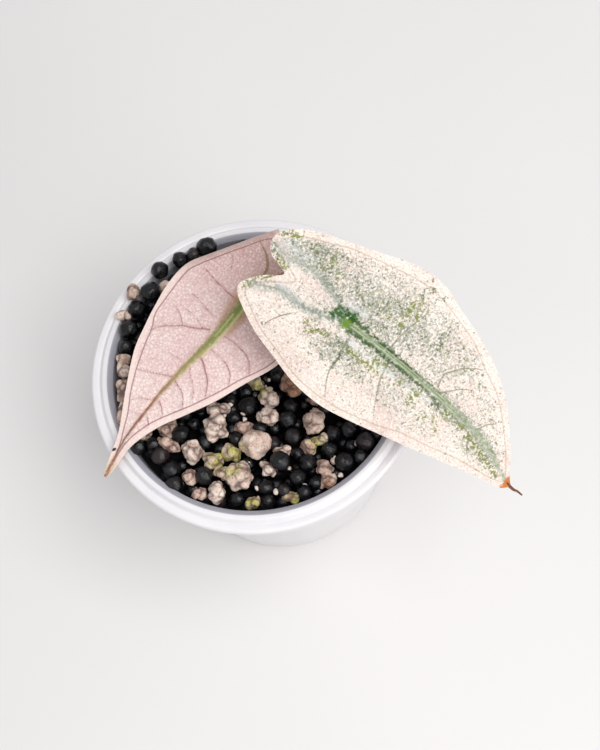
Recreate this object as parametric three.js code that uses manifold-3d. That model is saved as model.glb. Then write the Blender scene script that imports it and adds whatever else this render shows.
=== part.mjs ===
// A potted variegated polly alocasia: two leaves on their stalks, in a round pot of pellets and pumice.
// Millimetres, +Z up. The origin is the centre of the pot's base, and the photo looks from the -Y side.
import * as THREE from 'three';
import { mergeVertices } from 'three/addons/utils/BufferGeometryUtils.js';
import Module from 'manifold-3d';

const wasm = await Module();
wasm.setup();

const clearance = 0.3;

// Driving sizes of the pot. The lip's points are [in from the rim, down from the top], from outside to inside.
const pot = {
  height: 80,
  rimRadius: 47.5,
  baseRadius: 32,
  baseRound: 1,
  wall: 1.2,
  floor: 1.6,
  flangeDepth: 4,
  lip: [[0.5, 4], [0, 3.4], [0, 1.7], [0.5, 1.2], [1.8, 1.3], [2.4, 1.6], [2.9, 0.8], [3.4, 0], [4.6, 0], [5.2, 0.3]],
  throat: [6.3, 1.1],
  ribs: { depths: [11, 8], rise: 0.4, halfFoot: 0.8, halfTop: 0.3 },
  drains: { count: 6, circle: 20, radius: 2, segments: 12 },
  segments: 48,
};

// Driving sizes of the mix: a heaped bed, and pellets that stand out of it.
const mix = {
  level: 77.8,
  heap: 0.05,
  heapHeading: 117,
  bedDrop: 1.2,
  bedRings: 4,
  pelletRadius: 2.8,
  riseSpread: 0.9,
  spacing: 5.5,
  stoneMargin: 1,
  cormMargin: 1,
  tries: 5000,
  seed: 4127,
  segments: 32,
};

// Pellets that show in the photo: [x, y, height over the mix's level, diameter].
const shownPellets = [
  [-19, 36.5, 3.6, 5.2], [-4, 39.5, 3.6, 5.8], [-12.5, 38, 3.2, 4.6], [-8.5, 38.5, 3.4, 4], [-23.2, 31, 3.2, 5.5],
  [-28.5, 27.5, 1.6, 5], [-32, 22.5, 1, 5.8], [-34.2, 17.5, 0.4, 4.6], [-37.6, -12.5, 0.6, 4.6], [-25, -12.4, 1.2, 5.4],
  [-32.2, -16.8, 0.8, 5.2], [-30, -21.4, 0.8, 5], [-21.6, -26, 1.4, 5.4], [-30.5, -25.5, 0.2, 5], [-4.8, -9.6, 0.6, 5.6],
  [-9.6, -11.5, 0, 4], [-0.2, -28.4, 3, 5.8], [5, -16.6, 0.8, 5.2], [5, -21.8, 1, 4.8], [3.2, -33.5, 1.2, 5],
  [7, -30.5, 1.6, 5], [16, -24, 0.8, 4.8], [20.6, -24.2, 0.8, 4.8], [24, -29, 1.6, 5.2], [13.9, -28.2, 0.8, 4.8],
  [17, -33, 1.8, 5.4], [-6, -33.6, 0.4, 4.6], [-1.4, -35.8, 0.4, 4], [-6.4, -37.4, 0, 4], [4, -38, 0.6, 4.4],
  [-14.5, -34.6, 0.2, 4], [21.6, -32.6, 0.8, 4.6],
];

// Pumice stones: [x, y, height over the mix's level, length, width, turn of the length in degrees].
const stones = [
  [-5.6, -21.3, 2.2, 8.4, 7.8, 133], [-12.3, -28.8, 1.6, 8.2, 7.6, 76], [-15.2, -13.6, 2, 7.4, 6.6, 76],
  [11.9, -19.4, 1.8, 7.8, 5.6, 56], [-23.1, -18, 1.2, 6.2, 5.4, 114], [-18.2, -22.4, 0.8, 6.4, 4.6, 148],
  [-19.5, -31.4, 1.2, 6, 4.6, 66], [0, -14.4, 1.4, 6, 4.6, 148], [1.2, -9, 1.2, 5.6, 4.4, 113],
  [8.2, -7.4, 0.8, 7.4, 4.4, 118], [-28.6, -9.6, 0.8, 5.4, 4.6, 163], [-29, -14.6, 1.6, 7.2, 2.8, 136],
  [-13.4, -8.2, 1.2, 6.2, 3.8, 163], [-34.4, -8.8, 1, 4.6, 3.4, 4], [-12.6, -21.6, 0.8, 4.8, 4.2, 163],
  [-16.8, -26.2, 0.8, 3.8, 3.2, 143], [-25.6, -25, 0.8, 3.9, 3.4, 76], [-24.6, -30, 0.8, 3.6, 3.4, 163],
  [-10.4, -37, 0.6, 4.6, 3.2, 9], [-7.6, -15.2, 0.2, 5.2, 3, 163], [-1, -3.6, 0.4, 4.6, 4, 163],
  [13.6, -13, 0.8, 4.4, 3, 137], [8.2, -25.8, 1, 4.6, 3.4, 133], [12, -24.9, 1.6, 4.2, 2, 4],
  [-4.3, -28.9, 1, 5.6, 2.4, 115], [1.2, -24.6, 1, 4.6, 2.4, 160], [11, -33, 1, 4.8, 4.2, 163],
  [11, -37, 0.8, 4.2, 3, 15], [-36.2, 10.6, 0.8, 4.2, 4, 163], [-37.6, 5, 0.6, 7.2, 4.2, 80],
  [-35.6, 13.8, 0.8, 4, 2.8, 163], [-39.2, -2.4, 2.4, 5, 3.4, 68], [-28.2, 32.4, 2.3, 4.8, 3.6, 100],
  [-18.6, 31.4, 1.2, 4.8, 3.6, 4], [-32.6, 26.6, 1, 4, 2.4, 140], [0, -38.4, 0.2, 5, 2.6, 178],
];

// A stone's half height is a share of its width and a little more, and its knobs rise by a share of its size.
const lump = { heightShare: 0.42, heightMore: 0.6, knobRise: 0.14, knobsAcross: [3.1, 3.7, 2.9], detail: 1 };

// The corm, the short stem base under both stalks. Its profile is [share of the radius, share of the height].
const corm = {
  x: 23.1,
  y: -4.1,
  foot: 58,
  top: 80.5,
  radius: 5.4,
  profile: [
    [0, 0], [0.55, 0], [0.9, 0.18], [1, 0.49], [0.92, 0.8], [1, 0.84], [0.88, 0.88], [0.96, 0.93], [0.86, 1], [0, 1],
  ],
  holeTop: 90,
  segments: 16,
};

// Leaves. A blade's own axes are x along the midrib from the stalk to the tip, y across, z off its visible face.
// The outline's points are [along the midrib, across it], from the tip on and clockwise on the visible face.
const blade = { thickness: 0.8, rings: 6, rimPoints: 60, waves: 9, waveHeight: 0.5, slopeStep: 0.05 };

const variegated = {
  attach: [27.5, -6.5, 112],
  heading: -53,
  fall: 19,
  bank: 15,
  droop: 0.0014,
  lobeDroop: 0.0035,
  arch: 0.003,
  midrib: [[-24, 0], [0, 0], [18, 0.2], [30, 0], [44, -1.1], [51, -2.4], [57, -5], [62, -6.8]],
  outline: [
    [62.5, -6.5], [60.1, -8.7], [56.3, -9.6], [46.4, -12.2], [36, -15.1], [25.3, -18], [15.1, -20.7], [7.9, -21.9],
    [-0.6, -21.6], [-8.7, -19.7], [-16.9, -17.6], [-23.9, -14.5], [-27.4, -12.2], [-27.9, -9.6], [-24.8, -5],
    [-20.5, -1], [-25.8, 0.6], [-28.4, 3.2], [-28.4, 6.4], [-25.4, 10.2], [-20.1, 13.4], [-11.7, 16.6], [-4.7, 19.2],
    [1.9, 21.8], [8.5, 23.5], [14.7, 23.4], [20.7, 21.6], [33.9, 17.5], [45.4, 11.1], [55.6, 1.3], [60, -4.1],
  ],
  basalVeins: [[[0, 0], [-5, 2.2], [-12, 4.2], [-18.7, 3.7], [-25, 3.4]],
    [[0, 0], [-6.4, -3.2], [-12, -4.6], [-18.8, -4.9], [-24.6, -7.9]]],
  tail: [[61.2, -6.6], [63.5, -6.7], [64.8, -6.4], [66.5, -6.4]],
  fold: null,
};

const pink = {
  attach: [7, 16.5, 97],
  heading: -146.5,
  fall: 12,
  bank: -6,
  droop: 0.0007,
  lobeDroop: 0.004,
  arch: 0.0025,
  midrib: [[-24, 0], [0, 0], [10, -0.2], [20, -0.8], [30, -2], [40, -3.1], [52, -3.2], [57, -3], [68, -1]],
  outline: [
    [68.1, -1], [66.2, -2], [60.7, -4], [55.2, -6], [45.2, -11.4], [35, -16.7], [28.2, -18.8], [22, -20], [12.7, -21],
    [-3, -20.2], [-11, -18.8], [-16.2, -15.5], [-17.8, -11.4], [-17, -7.6], [-15, -3.4], [-12.2, -0.6], [-14.4, 2],
    [-18.5, 4.4], [-20.5, 8.4], [-18, 13.2], [-13.5, 16.6], [-6, 19.4], [2, 19.8], [13.4, 17.9], [22.8, 14.2],
    [32, 10.7], [40.1, 6.4], [46.8, 2.7], [53.2, 0.5], [58.3, -0.4], [65.1, -0.4],
  ],
  basalVeins: [[[0, 0], [-5, -0.9], [-8.3, -3.3], [-10, -6.5], [-11.5, -9.5]],
    [[0, 0], [-7, 3.4], [-13, 6.4], [-17.5, 8]]],
  tail: null,
  // The far lobe rolls down about this line: a point on it, the heading that leads over it, radius and angle.
  fold: { point: [1.3, -13.9], heading: -122, radius: 3.5, angle: 95 },
};

// The stalks: where each stands in the corm, and the points that its middle passes through.
const stalk = { baseRadius: 2, endRadius: 1.25, steps: 14, sides: 8, socketDepth: 3, socketHeight: 10 };
const variegatedStalk = { foot: [25.3, -4.8], through: [[25.8, -4.4, 86], [27.4, -2.6, 96], [28, -2.4, 104]] };
const pinkStalk = { foot: [20.9, -3.4], through: [[21.4, -4, 90], [19.8, -1.2, 100], [14.4, 8, 104.6], [9, 14.6, 102]] };

// The thick veins that stand proud of a blade.
const rib = { startRadius: 0.95, endRadius: 0.45, basalRadius: 0.7, steps: 7, sides: 5 };

// Colours and finishes.
const finish = {
  pot: { color: 0xeeeef0, roughness: 0.4, metalness: 0 },
  mix: { color: 0x17181d, roughness: 0.35, metalness: 0 },
  pumice: { color: 0xc9b3a4, roughness: 0.9, metalness: 0 },
  variegated: { color: 0xe9e2d2, roughness: 0.5, metalness: 0 },
  pink: { color: 0xd9b7b3, roughness: 0.6, metalness: 0 },
  stalk: { color: 0xa9b878, roughness: 0.5, metalness: 0 },
  corm: { color: 0x7b5a3c, roughness: 0.8, metalness: 0 },
};

const radians = THREE.MathUtils.degToRad;
const goldenAngle = 2.4;

// A small seeded random source, so that every run gives the same grains.
function seededRandom(seed) {
  let state = seed >>> 0;
  return () => {
    state = (Math.imul(state, 1664525) + 1013904223) >>> 0;
    return state / 2 ** 32;
  };
}

// Booleans: a closed three.js geometry becomes a solid, and a solid becomes a geometry again.
function toSolid(geometry) {
  const bare = geometry.index ? geometry.toNonIndexed() : geometry.clone();
  for (const name of Object.keys(bare.attributes)) if (name !== 'position') bare.deleteAttribute(name);
  const merged = mergeVertices(bare, 1e-4);
  const corners = merged.index.array;
  const kept = [];
  for (let i = 0; i < corners.length; i += 3) {
    const [a, b, c] = [corners[i], corners[i + 1], corners[i + 2]];
    if (a !== b && b !== c && c !== a) kept.push(a, b, c);
  }
  return new wasm.Manifold(new wasm.Mesh({
    numProp: 3,
    vertProperties: new Float32Array(merged.attributes.position.array),
    triVerts: new Uint32Array(kept),
  }));
}

function toGeometry(solid) {
  const mesh = solid.getMesh();
  const geometry = new THREE.BufferGeometry();
  geometry.setAttribute('position', new THREE.BufferAttribute(new Float32Array(mesh.vertProperties), 3));
  geometry.setIndex(Array.from(mesh.triVerts));
  geometry.computeVertexNormals();
  return geometry;
}

// The largest body of a solid. What a cut leaves loose beside it is dropped.
function largestBody(solid) {
  return solid.decompose().reduce((best, body) => (body.volume() > best.volume() ? body : best));
}

// A turned solid about the Z axis, from [radius, height] pairs that run up its outside.
function turned(profile, segments) {
  const points = profile.map(([radius, height]) => new THREE.Vector2(radius, height));
  return new THREE.LatheGeometry(points, segments).rotateX(Math.PI / 2);
}

// The pot's throat, where its tapered inside meets the lip, and the radii of the taper's two faces.
const throatRadius = pot.rimRadius - pot.throat[0];
const throatHeight = pot.height - pot.throat[1];
const footRadius = pot.baseRadius - pot.wall;

function innerRadius(height) {
  return footRadius + (throatRadius - footRadius) * (height - pot.floor) / (throatHeight - pot.floor);
}

function outerRadius(height) {
  return pot.baseRadius + (innerRadius(height) + pot.wall - pot.baseRadius) * Math.min(1, height / pot.floor);
}

// The pot: floor, tapered wall with two fine ribs, flange, outer ring, groove and rounded inner lip.
function potGeometry() {
  const { ribs, drains, baseRound } = pot;
  const profile = [[0, 0], [pot.baseRadius - baseRound, 0], [pot.baseRadius, baseRound]];
  for (const depth of ribs.depths) {
    const middle = pot.height - depth;
    for (const [off, rise] of [[-ribs.halfFoot, 0], [-ribs.halfTop, ribs.rise], [ribs.halfTop, ribs.rise],
      [ribs.halfFoot, 0]]) {
      profile.push([outerRadius(middle + off) + rise, middle + off]);
    }
  }
  const flange = pot.height - pot.flangeDepth;
  profile.push([outerRadius(flange), flange]);
  for (const [inward, down] of pot.lip) profile.push([pot.rimRadius - inward, pot.height - down]);
  profile.push([throatRadius, throatHeight], [innerRadius(pot.floor), pot.floor], [0, pot.floor]);
  let body = toSolid(turned(profile, pot.segments));
  for (let i = 0; i < drains.count; i += 1) {
    const angle = 2 * Math.PI * i / drains.count;
    const hole = new THREE.CylinderGeometry(drains.radius, drains.radius, 4 * pot.floor, drains.segments);
    hole.rotateX(Math.PI / 2).translate(drains.circle * Math.cos(angle), drains.circle * Math.sin(angle), 0);
    body = body.subtract(toSolid(hole));
  }
  return toGeometry(body);
}

// What the filling must keep clear of: the pot's wall with the clearance added, up to just over its lip.
function wallGuard() {
  const below = -1;
  const over = pot.height + clearance;
  const far = 2 * pot.rimRadius;
  const lipRadius = pot.rimRadius - pot.lip.at(-1)[0];
  const profile = [
    [innerRadius(0) - clearance, below], [far, below], [far, over], [lipRadius - clearance, over],
    [throatRadius - clearance, throatHeight], [innerRadius(0) - clearance, below],
  ];
  return toSolid(turned(profile, pot.segments));
}

// The level of the mix at a place. It is heaped towards one side of the pot.
function mixLevel(x, y) {
  const heading = radians(mix.heapHeading);
  return mix.level + mix.heap * (x * Math.cos(heading) + y * Math.sin(heading));
}

// A pumice stone: a rounded lump with shallow knobs, flattened and turned.
function stoneGeometry([x, y, rise, length, width, turn], index, grow) {
  const geometry = new THREE.IcosahedronGeometry(1, lump.detail);
  const place = geometry.attributes.position;
  const point = new THREE.Vector3();
  const [alongX, alongY, alongZ] = lump.knobsAcross;
  for (let i = 0; i < place.count; i += 1) {
    point.fromBufferAttribute(place, i);
    const sides = Math.sin(alongX * point.x + index) * Math.sin(alongY * point.y + 2 * index);
    const knobs = sides * Math.cos(alongZ * point.z + index);
    point.multiplyScalar(1 + lump.knobRise * knobs);
    place.setXYZ(i, point.x, point.y, point.z);
  }
  const halfHeight = lump.heightShare * width + lump.heightMore;
  geometry.scale(length / 2 + grow, width / 2 + grow, halfHeight + grow);
  return geometry.rotateZ(radians(turn)).translate(x, y, mixLevel(x, y) + rise);
}

// Each stone is trimmed clear of the wall and of the stones before it.
function stoneSolids(guard) {
  const grown = stones.map((stone, index) => toSolid(stoneGeometry(stone, index, clearance)));
  const bodies = stones.map((stone, index) => {
    let body = toSolid(stoneGeometry(stone, index, 0)).subtract(guard);
    for (let before = 0; before < index; before += 1) {
      const apart = Math.hypot(stone[0] - stones[before][0], stone[1] - stones[before][1]);
      if (apart < stone[3] + stones[before][3]) body = body.subtract(grown[before]);
    }
    return largestBody(body);
  });
  return { bodies, grown };
}

// Where the pellets lie: those that the photo shows, and then seeded ones wherever there is room.
function pelletPlaces() {
  const random = seededRandom(mix.seed);
  const places = shownPellets.map(([x, y, rise, diameter]) => ({ x, y, rise, radius: diameter / 2 }));
  const reach = innerRadius(mix.level) - mix.pelletRadius;
  for (let i = 0; i < mix.tries; i += 1) {
    const distance = reach * Math.sqrt(random());
    const angle = 2 * Math.PI * random();
    const rise = mix.riseSpread * (random() - 0.5);
    const [x, y] = [distance * Math.cos(angle), distance * Math.sin(angle)];
    const clear = places.every((other) => Math.hypot(x - other.x, y - other.y) > mix.spacing)
      && stones.every((stone) => Math.hypot(x - stone[0], y - stone[1]) > (stone[3] + stone[4]) / 4 + mix.stoneMargin)
      && Math.hypot(x - corm.x, y - corm.y) > corm.radius + mix.cormMargin;
    if (clear) places.push({ x, y, rise, radius: mix.pelletRadius });
  }
  return places;
}

function pelletGeometry({ x, y, rise, radius }, index) {
  const geometry = new THREE.IcosahedronGeometry(radius, 0);
  return geometry.rotateX(index).rotateZ(goldenAngle * index).translate(x, y, mixLevel(x, y) + rise);
}

// The mix: a bed that fills the pot, its top following the heap, with the pellets fused on.
function mixGeometry(guard, grownStones, cormHole) {
  const foot = pot.floor + clearance;
  const bedTop = mix.level - mix.bedDrop;
  const brim = innerRadius(bedTop) - 2 * clearance;
  const profile = [[0, foot], [innerRadius(foot) - 2 * clearance, foot]];
  for (let ring = mix.bedRings; ring >= 0; ring -= 1) profile.push([brim * ring / mix.bedRings, bedTop]);
  const bed = turned(profile, mix.segments);
  const place = bed.attributes.position;
  for (let i = 0; i < place.count; i += 1) {
    const [x, y, z] = [place.getX(i), place.getY(i), place.getZ(i)];
    if (z > bedTop - clearance) place.setZ(i, mixLevel(x, y) - mix.bedDrop);
  }
  const pellets = pelletPlaces().map((pellet, index) => toSolid(pelletGeometry(pellet, index)));
  const whole = wasm.Manifold.union([toSolid(bed), ...pellets]);
  const cut = wasm.Manifold.union([guard, cormHole, ...grownStones]);
  return toGeometry(largestBody(whole.subtract(cut)));
}

// A round stem along a curve that narrows from one radius to another, with flat ends.
function taperedStem(points, startRadius, endRadius, steps, sides) {
  const curve = new THREE.CatmullRomCurve3(points.map((point) => new THREE.Vector3(...point)));
  const frames = curve.computeFrenetFrames(steps, false);
  const corners = [];
  for (let i = 0; i <= steps; i += 1) {
    const centre = curve.getPointAt(i / steps);
    const radius = startRadius + (endRadius - startRadius) * i / steps;
    for (let j = 0; j < sides; j += 1) {
      const angle = 2 * Math.PI * j / sides;
      const corner = centre.clone()
        .addScaledVector(frames.normals[i], radius * Math.cos(angle))
        .addScaledVector(frames.binormals[i], radius * Math.sin(angle));
      corners.push(corner);
    }
  }
  corners.push(curve.getPointAt(0), curve.getPointAt(1));
  const [startCentre, endCentre] = [corners.length - 2, corners.length - 1];
  const faces = [];
  for (let j = 0; j < sides; j += 1) {
    const next = (j + 1) % sides;
    for (let i = 0; i < steps; i += 1) {
      const [a, b] = [i * sides + j, i * sides + next];
      faces.push(a, b, b + sides, a, b + sides, a + sides);
    }
    faces.push(startCentre, next, j, endCentre, steps * sides + j, steps * sides + next);
  }
  const geometry = new THREE.BufferGeometry().setFromPoints(corners);
  geometry.setIndex(faces);
  geometry.computeVertexNormals();
  return geometry;
}

// The height of a list of [along, across] points at a place along it.
function acrossAt(points, along) {
  let i = 1;
  while (i < points.length - 1 && points[i][0] < along) i += 1;
  const [[x0, y0], [x1, y1]] = [points[i - 1], points[i]];
  return y0 + (y1 - y0) * THREE.MathUtils.clamp((along - x0) / (x1 - x0), 0, 1);
}

// A place on a blade's middle surface, in the blade's own axes: drooping, arched, waved and rolled at its fold.
function surfacePoint(leaf, along, across, wave) {
  const off = across - acrossAt(leaf.midrib, along);
  const droop = along > 0 ? leaf.droop : leaf.lobeDroop;
  const height = wave - droop * along * along - leaf.arch * off * off;
  if (!leaf.fold) return new THREE.Vector3(along, across, height);
  const { point, heading, radius, angle } = leaf.fold;
  const over = [Math.cos(radians(heading)), Math.sin(radians(heading))];
  const past = (along - point[0]) * over[0] + (across - point[1]) * over[1];
  if (past <= 0) return new THREE.Vector3(along, across, height);
  const turn = Math.min(past / radius, radians(angle));
  const rest = past - turn * radius;
  const forward = radius * Math.sin(turn) + rest * Math.cos(turn) - past;
  const down = radius * (1 - Math.cos(turn)) + rest * Math.sin(turn);
  return new THREE.Vector3(along + over[0] * forward, across + over[1] * forward, height - down);
}

// A blade: rings between the stalk and the outline, on two faces that are split alike, closed round the edge.
function bladeSolid(leaf) {
  const outline = new THREE.SplineCurve([...leaf.outline, leaf.outline[0]].map((point) => new THREE.Vector2(...point)));
  const rim = outline.getSpacedPoints(blade.rimPoints).slice(0, -1);
  const nudge = blade.slopeStep;
  const waveAt = (share, turn) => blade.waveHeight * share ** 3 * Math.sin(2 * Math.PI * blade.waves * turn);
  const sample = (ring, spoke, side) => {
    const share = ring / blade.rings;
    const end = rim[spoke];
    const along = share * end.x;
    const off = share * (end.y - acrossAt(leaf.midrib, end.x));
    const across = acrossAt(leaf.midrib, along) + off;
    const wave = waveAt(share, spoke / blade.rimPoints);
    const here = surfacePoint(leaf, along, across, wave);
    const ahead = surfacePoint(leaf, along + nudge, across, wave).sub(here);
    const aside = surfacePoint(leaf, along, across + nudge, wave).sub(here);
    return here.addScaledVector(ahead.cross(aside).normalize(), side * blade.thickness / 2);
  };
  const corners = [sample(0, 0, 1), sample(0, 0, -1)];
  const count = blade.rimPoints;
  const at = (ring, spoke, side) => 2 + 2 * ((ring - 1) * count + (spoke % count)) + (side > 0 ? 0 : 1);
  for (let ring = 1; ring <= blade.rings; ring += 1) {
    for (let spoke = 0; spoke < count; spoke += 1) corners.push(sample(ring, spoke, 1), sample(ring, spoke, -1));
  }
  const faces = [];
  for (let spoke = 0; spoke < count; spoke += 1) {
    const next = spoke + 1;
    faces.push(0, at(1, next, 1), at(1, spoke, 1), 1, at(1, spoke, -1), at(1, next, -1));
    for (let ring = 1; ring < blade.rings; ring += 1) {
      const [a, b] = [at(ring, spoke, 1), at(ring, next, 1)];
      const [c, d] = [at(ring + 1, spoke, 1), at(ring + 1, next, 1)];
      faces.push(a, b, d, a, d, c);
      faces.push(a + 1, d + 1, b + 1, a + 1, c + 1, d + 1);
    }
    const [p, q] = [at(blade.rings, spoke, 1), at(blade.rings, next, 1)];
    faces.push(p, q, q + 1, p, q + 1, p + 1);
  }
  const geometry = new THREE.BufferGeometry().setFromPoints(corners);
  geometry.setIndex(faces);
  return toSolid(geometry);
}

// A vein stands proud of both faces of its blade as a slim round rib.
function veinSolid(leaf, points, startRadius) {
  const path = points.map(([along, across]) => surfacePoint(leaf, along, across, 0).toArray());
  return toSolid(taperedStem(path, startRadius, rib.endRadius, rib.steps, rib.sides));
}

function leafGeometry(leaf) {
  const midrib = leaf.midrib.filter(([along]) => along >= 0).slice(0, -1);
  const parts = [bladeSolid(leaf), veinSolid(leaf, midrib, rib.startRadius)];
  for (const vein of leaf.basalVeins) parts.push(veinSolid(leaf, vein, rib.basalRadius));
  if (leaf.tail) parts.push(veinSolid(leaf, leaf.tail, rib.endRadius));
  return toGeometry(largestBody(wasm.Manifold.union(parts)));
}

// A blade hangs in a group of its own, placed at the end of its stalk.
function leafGroup(leaf) {
  const group = new THREE.Group();
  group.position.set(...leaf.attach);
  group.rotation.set(radians(leaf.bank), radians(leaf.fall), radians(leaf.heading), 'ZYX');
  group.updateMatrixWorld();
  return group;
}

// A stalk runs from its foot in the corm to just off the blade, on its side `side`: 1 for the face that shows.
function stalkPoints(leaf, { foot, through }, side) {
  const off = side * (rib.startRadius + clearance);
  const end = leafGroup(leaf).localToWorld(new THREE.Vector3(0, 0, off));
  return [[...foot, corm.top - stalk.socketDepth], ...through, end.toArray()];
}

function cormGeometry(sockets) {
  const profile = corm.profile.map(([out, up]) => [out * corm.radius, corm.foot + up * (corm.top - corm.foot)]);
  let body = toSolid(turned(profile, corm.segments).translate(corm.x, corm.y, 0));
  for (const socket of sockets) body = body.subtract(socket);
  return toGeometry(body);
}

function cormHoleSolid() {
  const radius = corm.radius + clearance;
  const foot = corm.foot - clearance;
  const profile = [[0, foot], [radius, foot], [radius, corm.holeTop], [0, corm.holeTop]];
  return toSolid(turned(profile, corm.segments).translate(corm.x, corm.y, 0));
}

// The plain hole in the corm that a stalk stands in.
function socketSolid([x, y]) {
  const radius = stalk.baseRadius + clearance;
  const floor = corm.top - stalk.socketDepth - clearance;
  const hole = new THREE.CylinderGeometry(radius, radius, stalk.socketHeight, corm.segments).rotateX(Math.PI / 2);
  return toSolid(hole.translate(x, y, floor + stalk.socketHeight / 2));
}

function piece(name, geometry, look) {
  const mesh = new THREE.Mesh(geometry, new THREE.MeshStandardMaterial(look));
  mesh.name = name;
  return mesh;
}

function addLeaf(plant, name, leaf, route, side, look) {
  const path = stalkPoints(leaf, route, side);
  const stem = taperedStem(path, stalk.baseRadius, stalk.endRadius, stalk.steps, stalk.sides);
  plant.add(piece(`petiole_${name}`, stem, finish.stalk));
  const group = leafGroup(leaf);
  group.add(piece(`leaf_${name}`, leafGeometry(leaf), look));
  plant.add(group);
}

const plant = new THREE.Group();
const guard = wallGuard();
const { bodies: stoneBodies, grown: grownStones } = stoneSolids(guard);

plant.add(piece('pot', potGeometry(), finish.pot));
plant.add(piece('potting_mix', mixGeometry(guard, grownStones, cormHoleSolid()), finish.mix));
stoneBodies.forEach((body, index) => {
  const name = `pumice_${String(index + 1).padStart(2, '0')}`;
  plant.add(piece(name, toGeometry(body), finish.pumice));
});
plant.add(piece('corm', cormGeometry([variegatedStalk, pinkStalk].map(({ foot }) => socketSolid(foot))), finish.corm));
addLeaf(plant, 'variegated', variegated, variegatedStalk, -1, finish.variegated);
addLeaf(plant, 'pink', pink, pinkStalk, 1, finish.pink);

export default plant;
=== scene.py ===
# %% [markdown]
# A young variegated polly alocasia in its nursery pot: a milky plastic pot, glossy clay pellets with pale
# pumice among them, a corm, two fleshy stalks and two heart shaped leaves. One leaf shows its cream and
# green upper face, and the other is turned over and shows its pink underside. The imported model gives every
# size and place, so it is loaded first and its box is kept.

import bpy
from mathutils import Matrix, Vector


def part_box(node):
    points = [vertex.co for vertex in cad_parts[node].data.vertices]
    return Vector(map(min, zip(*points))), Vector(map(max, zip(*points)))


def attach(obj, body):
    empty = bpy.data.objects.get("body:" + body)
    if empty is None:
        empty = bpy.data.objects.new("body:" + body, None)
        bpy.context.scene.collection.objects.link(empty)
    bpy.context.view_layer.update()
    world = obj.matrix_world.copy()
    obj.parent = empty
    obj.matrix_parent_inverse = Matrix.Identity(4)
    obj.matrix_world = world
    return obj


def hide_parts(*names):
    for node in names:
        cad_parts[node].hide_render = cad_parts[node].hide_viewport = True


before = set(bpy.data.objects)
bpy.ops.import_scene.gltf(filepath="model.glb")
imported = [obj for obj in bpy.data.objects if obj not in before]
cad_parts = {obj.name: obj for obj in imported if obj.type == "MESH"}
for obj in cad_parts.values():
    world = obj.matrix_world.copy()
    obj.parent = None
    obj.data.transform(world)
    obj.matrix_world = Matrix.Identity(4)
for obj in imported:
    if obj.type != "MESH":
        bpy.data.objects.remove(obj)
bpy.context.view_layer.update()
print("packed nodes:", len(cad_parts))

# %% [markdown]
# Sizes are written in millimetres, as a gardener would measure them, and turned to metres by one factor.
# Materials take their colours as the hex codes of a paint card. Blender's shaders work with linear light,
# so one function turns a code to linear values.

# %% Units and colours
import math
from functools import partial

import bmesh
import bpy
import numpy as np
from mathutils import Matrix, Vector, noise

mm = 0.001


def colour(code):
    """The linear RGBA of an sRGB hex code such as #A0B1C2."""
    shares = [int(code[place:place + 2], 16) / 255 for place in (1, 3, 5)]
    linear = [share / 12.92 if share <= 0.04045 else ((share + 0.055) / 1.055) ** 2.4 for share in shares]
    return (*linear, 1)


print("mid grey is", round(colour("#808080")[0], 3), "in linear light")

# %% [markdown]
# The camera looks steeply down into the pot from the front, with the picture turned a little anticlockwise.
# It could be aimed with constraints, but three directions worked out from its angles say exactly where it
# looks. The focal length is kept as the photo's, in pixels, and turned to the millimetres of a 36 mm
# sensor.

# %% Camera
view_target = Vector((11.7, -5.5, 80)) * mm
view_distance = 450 * mm
view_elevation = math.radians(69.17)
view_roll = math.radians(-15.98)
focal_in_pixels = 1594.3
picture_height = 750
sensor = 36

forward = Vector((0, math.cos(view_elevation), -math.sin(view_elevation)))
level_right = Vector((1, 0, 0))
level_up = level_right.cross(forward)
camera_right = level_right * math.cos(view_roll) + level_up * math.sin(view_roll)
camera_up = level_up * math.cos(view_roll) - level_right * math.sin(view_roll)

camera_data = bpy.data.cameras.new("camera")
camera_data.lens = focal_in_pixels / picture_height * sensor
camera_data.sensor_width = sensor
camera_data.clip_start = 10 * mm
camera = bpy.data.objects.new("camera", camera_data)
camera.matrix_world = (Matrix.Translation(view_target - forward * view_distance)
                       @ Matrix((camera_right, camera_up, -forward)).transposed().to_4x4())
bpy.context.scene.collection.objects.link(camera)
bpy.context.scene.camera = camera
print("lens", round(camera_data.lens, 1), "mm")

# %% [markdown]
# A material is a small net of nodes that ends in one shader. Each starts from what the real surface is. One
# function adds a node with its settings and its links, and each material starts with that function bound to
# it. A node given as a link's source stands for the first of its outputs that is in use. Where colours lie
# over each other, a loop adds a Mix node for each.

# %% Helpers for materials


def plug(node, links):
    """Sets a node's sockets: to a value, to a hex code's colour, or linked from a socket or a whole node."""
    for socket, value in links.items():
        if isinstance(value, bpy.types.Node):
            value = next(output for output in value.outputs if output.enabled)
        if isinstance(value, bpy.types.NodeSocket):
            node.id_data.links.new(value, node.inputs[socket])
        else:
            node.inputs[socket].default_value = colour(value) if isinstance(value, str) else value


def add_node(material, kind, links=None, stops=(), **settings):
    """Adds a node of a kind, sets its settings and sockets, and gives a colour ramp its stops."""
    node = material.node_tree.nodes.new("ShaderNode" + kind)
    for name, value in settings.items():
        setattr(node, name, value)
    plug(node, links or {})
    for index, (place, code) in enumerate(stops):
        elements = node.color_ramp.elements
        stop = elements[index] if index < 2 else elements.new(place)
        stop.position = place
        stop.color = colour(code)
    return node


def start_material(name):
    """An empty material, its shader, the function that adds a node to it, and the object's coordinates."""
    material = bpy.data.materials.new(name)
    material.use_nodes = True
    add = partial(add_node, material)
    return material, material.node_tree.nodes["Principled BSDF"], add, add("TexCoord").outputs["Object"]


print("materials are built from", add_node.__name__)

# %% [markdown]
# Most pieces here are turned, swept or cut from a sheet. These helpers hold what their shapes share: a smooth
# line through a few points, a profile turned about the pot's axis, and a round stem swept along a path.

# %% Helpers for shapes
seam = 1e-6


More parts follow.
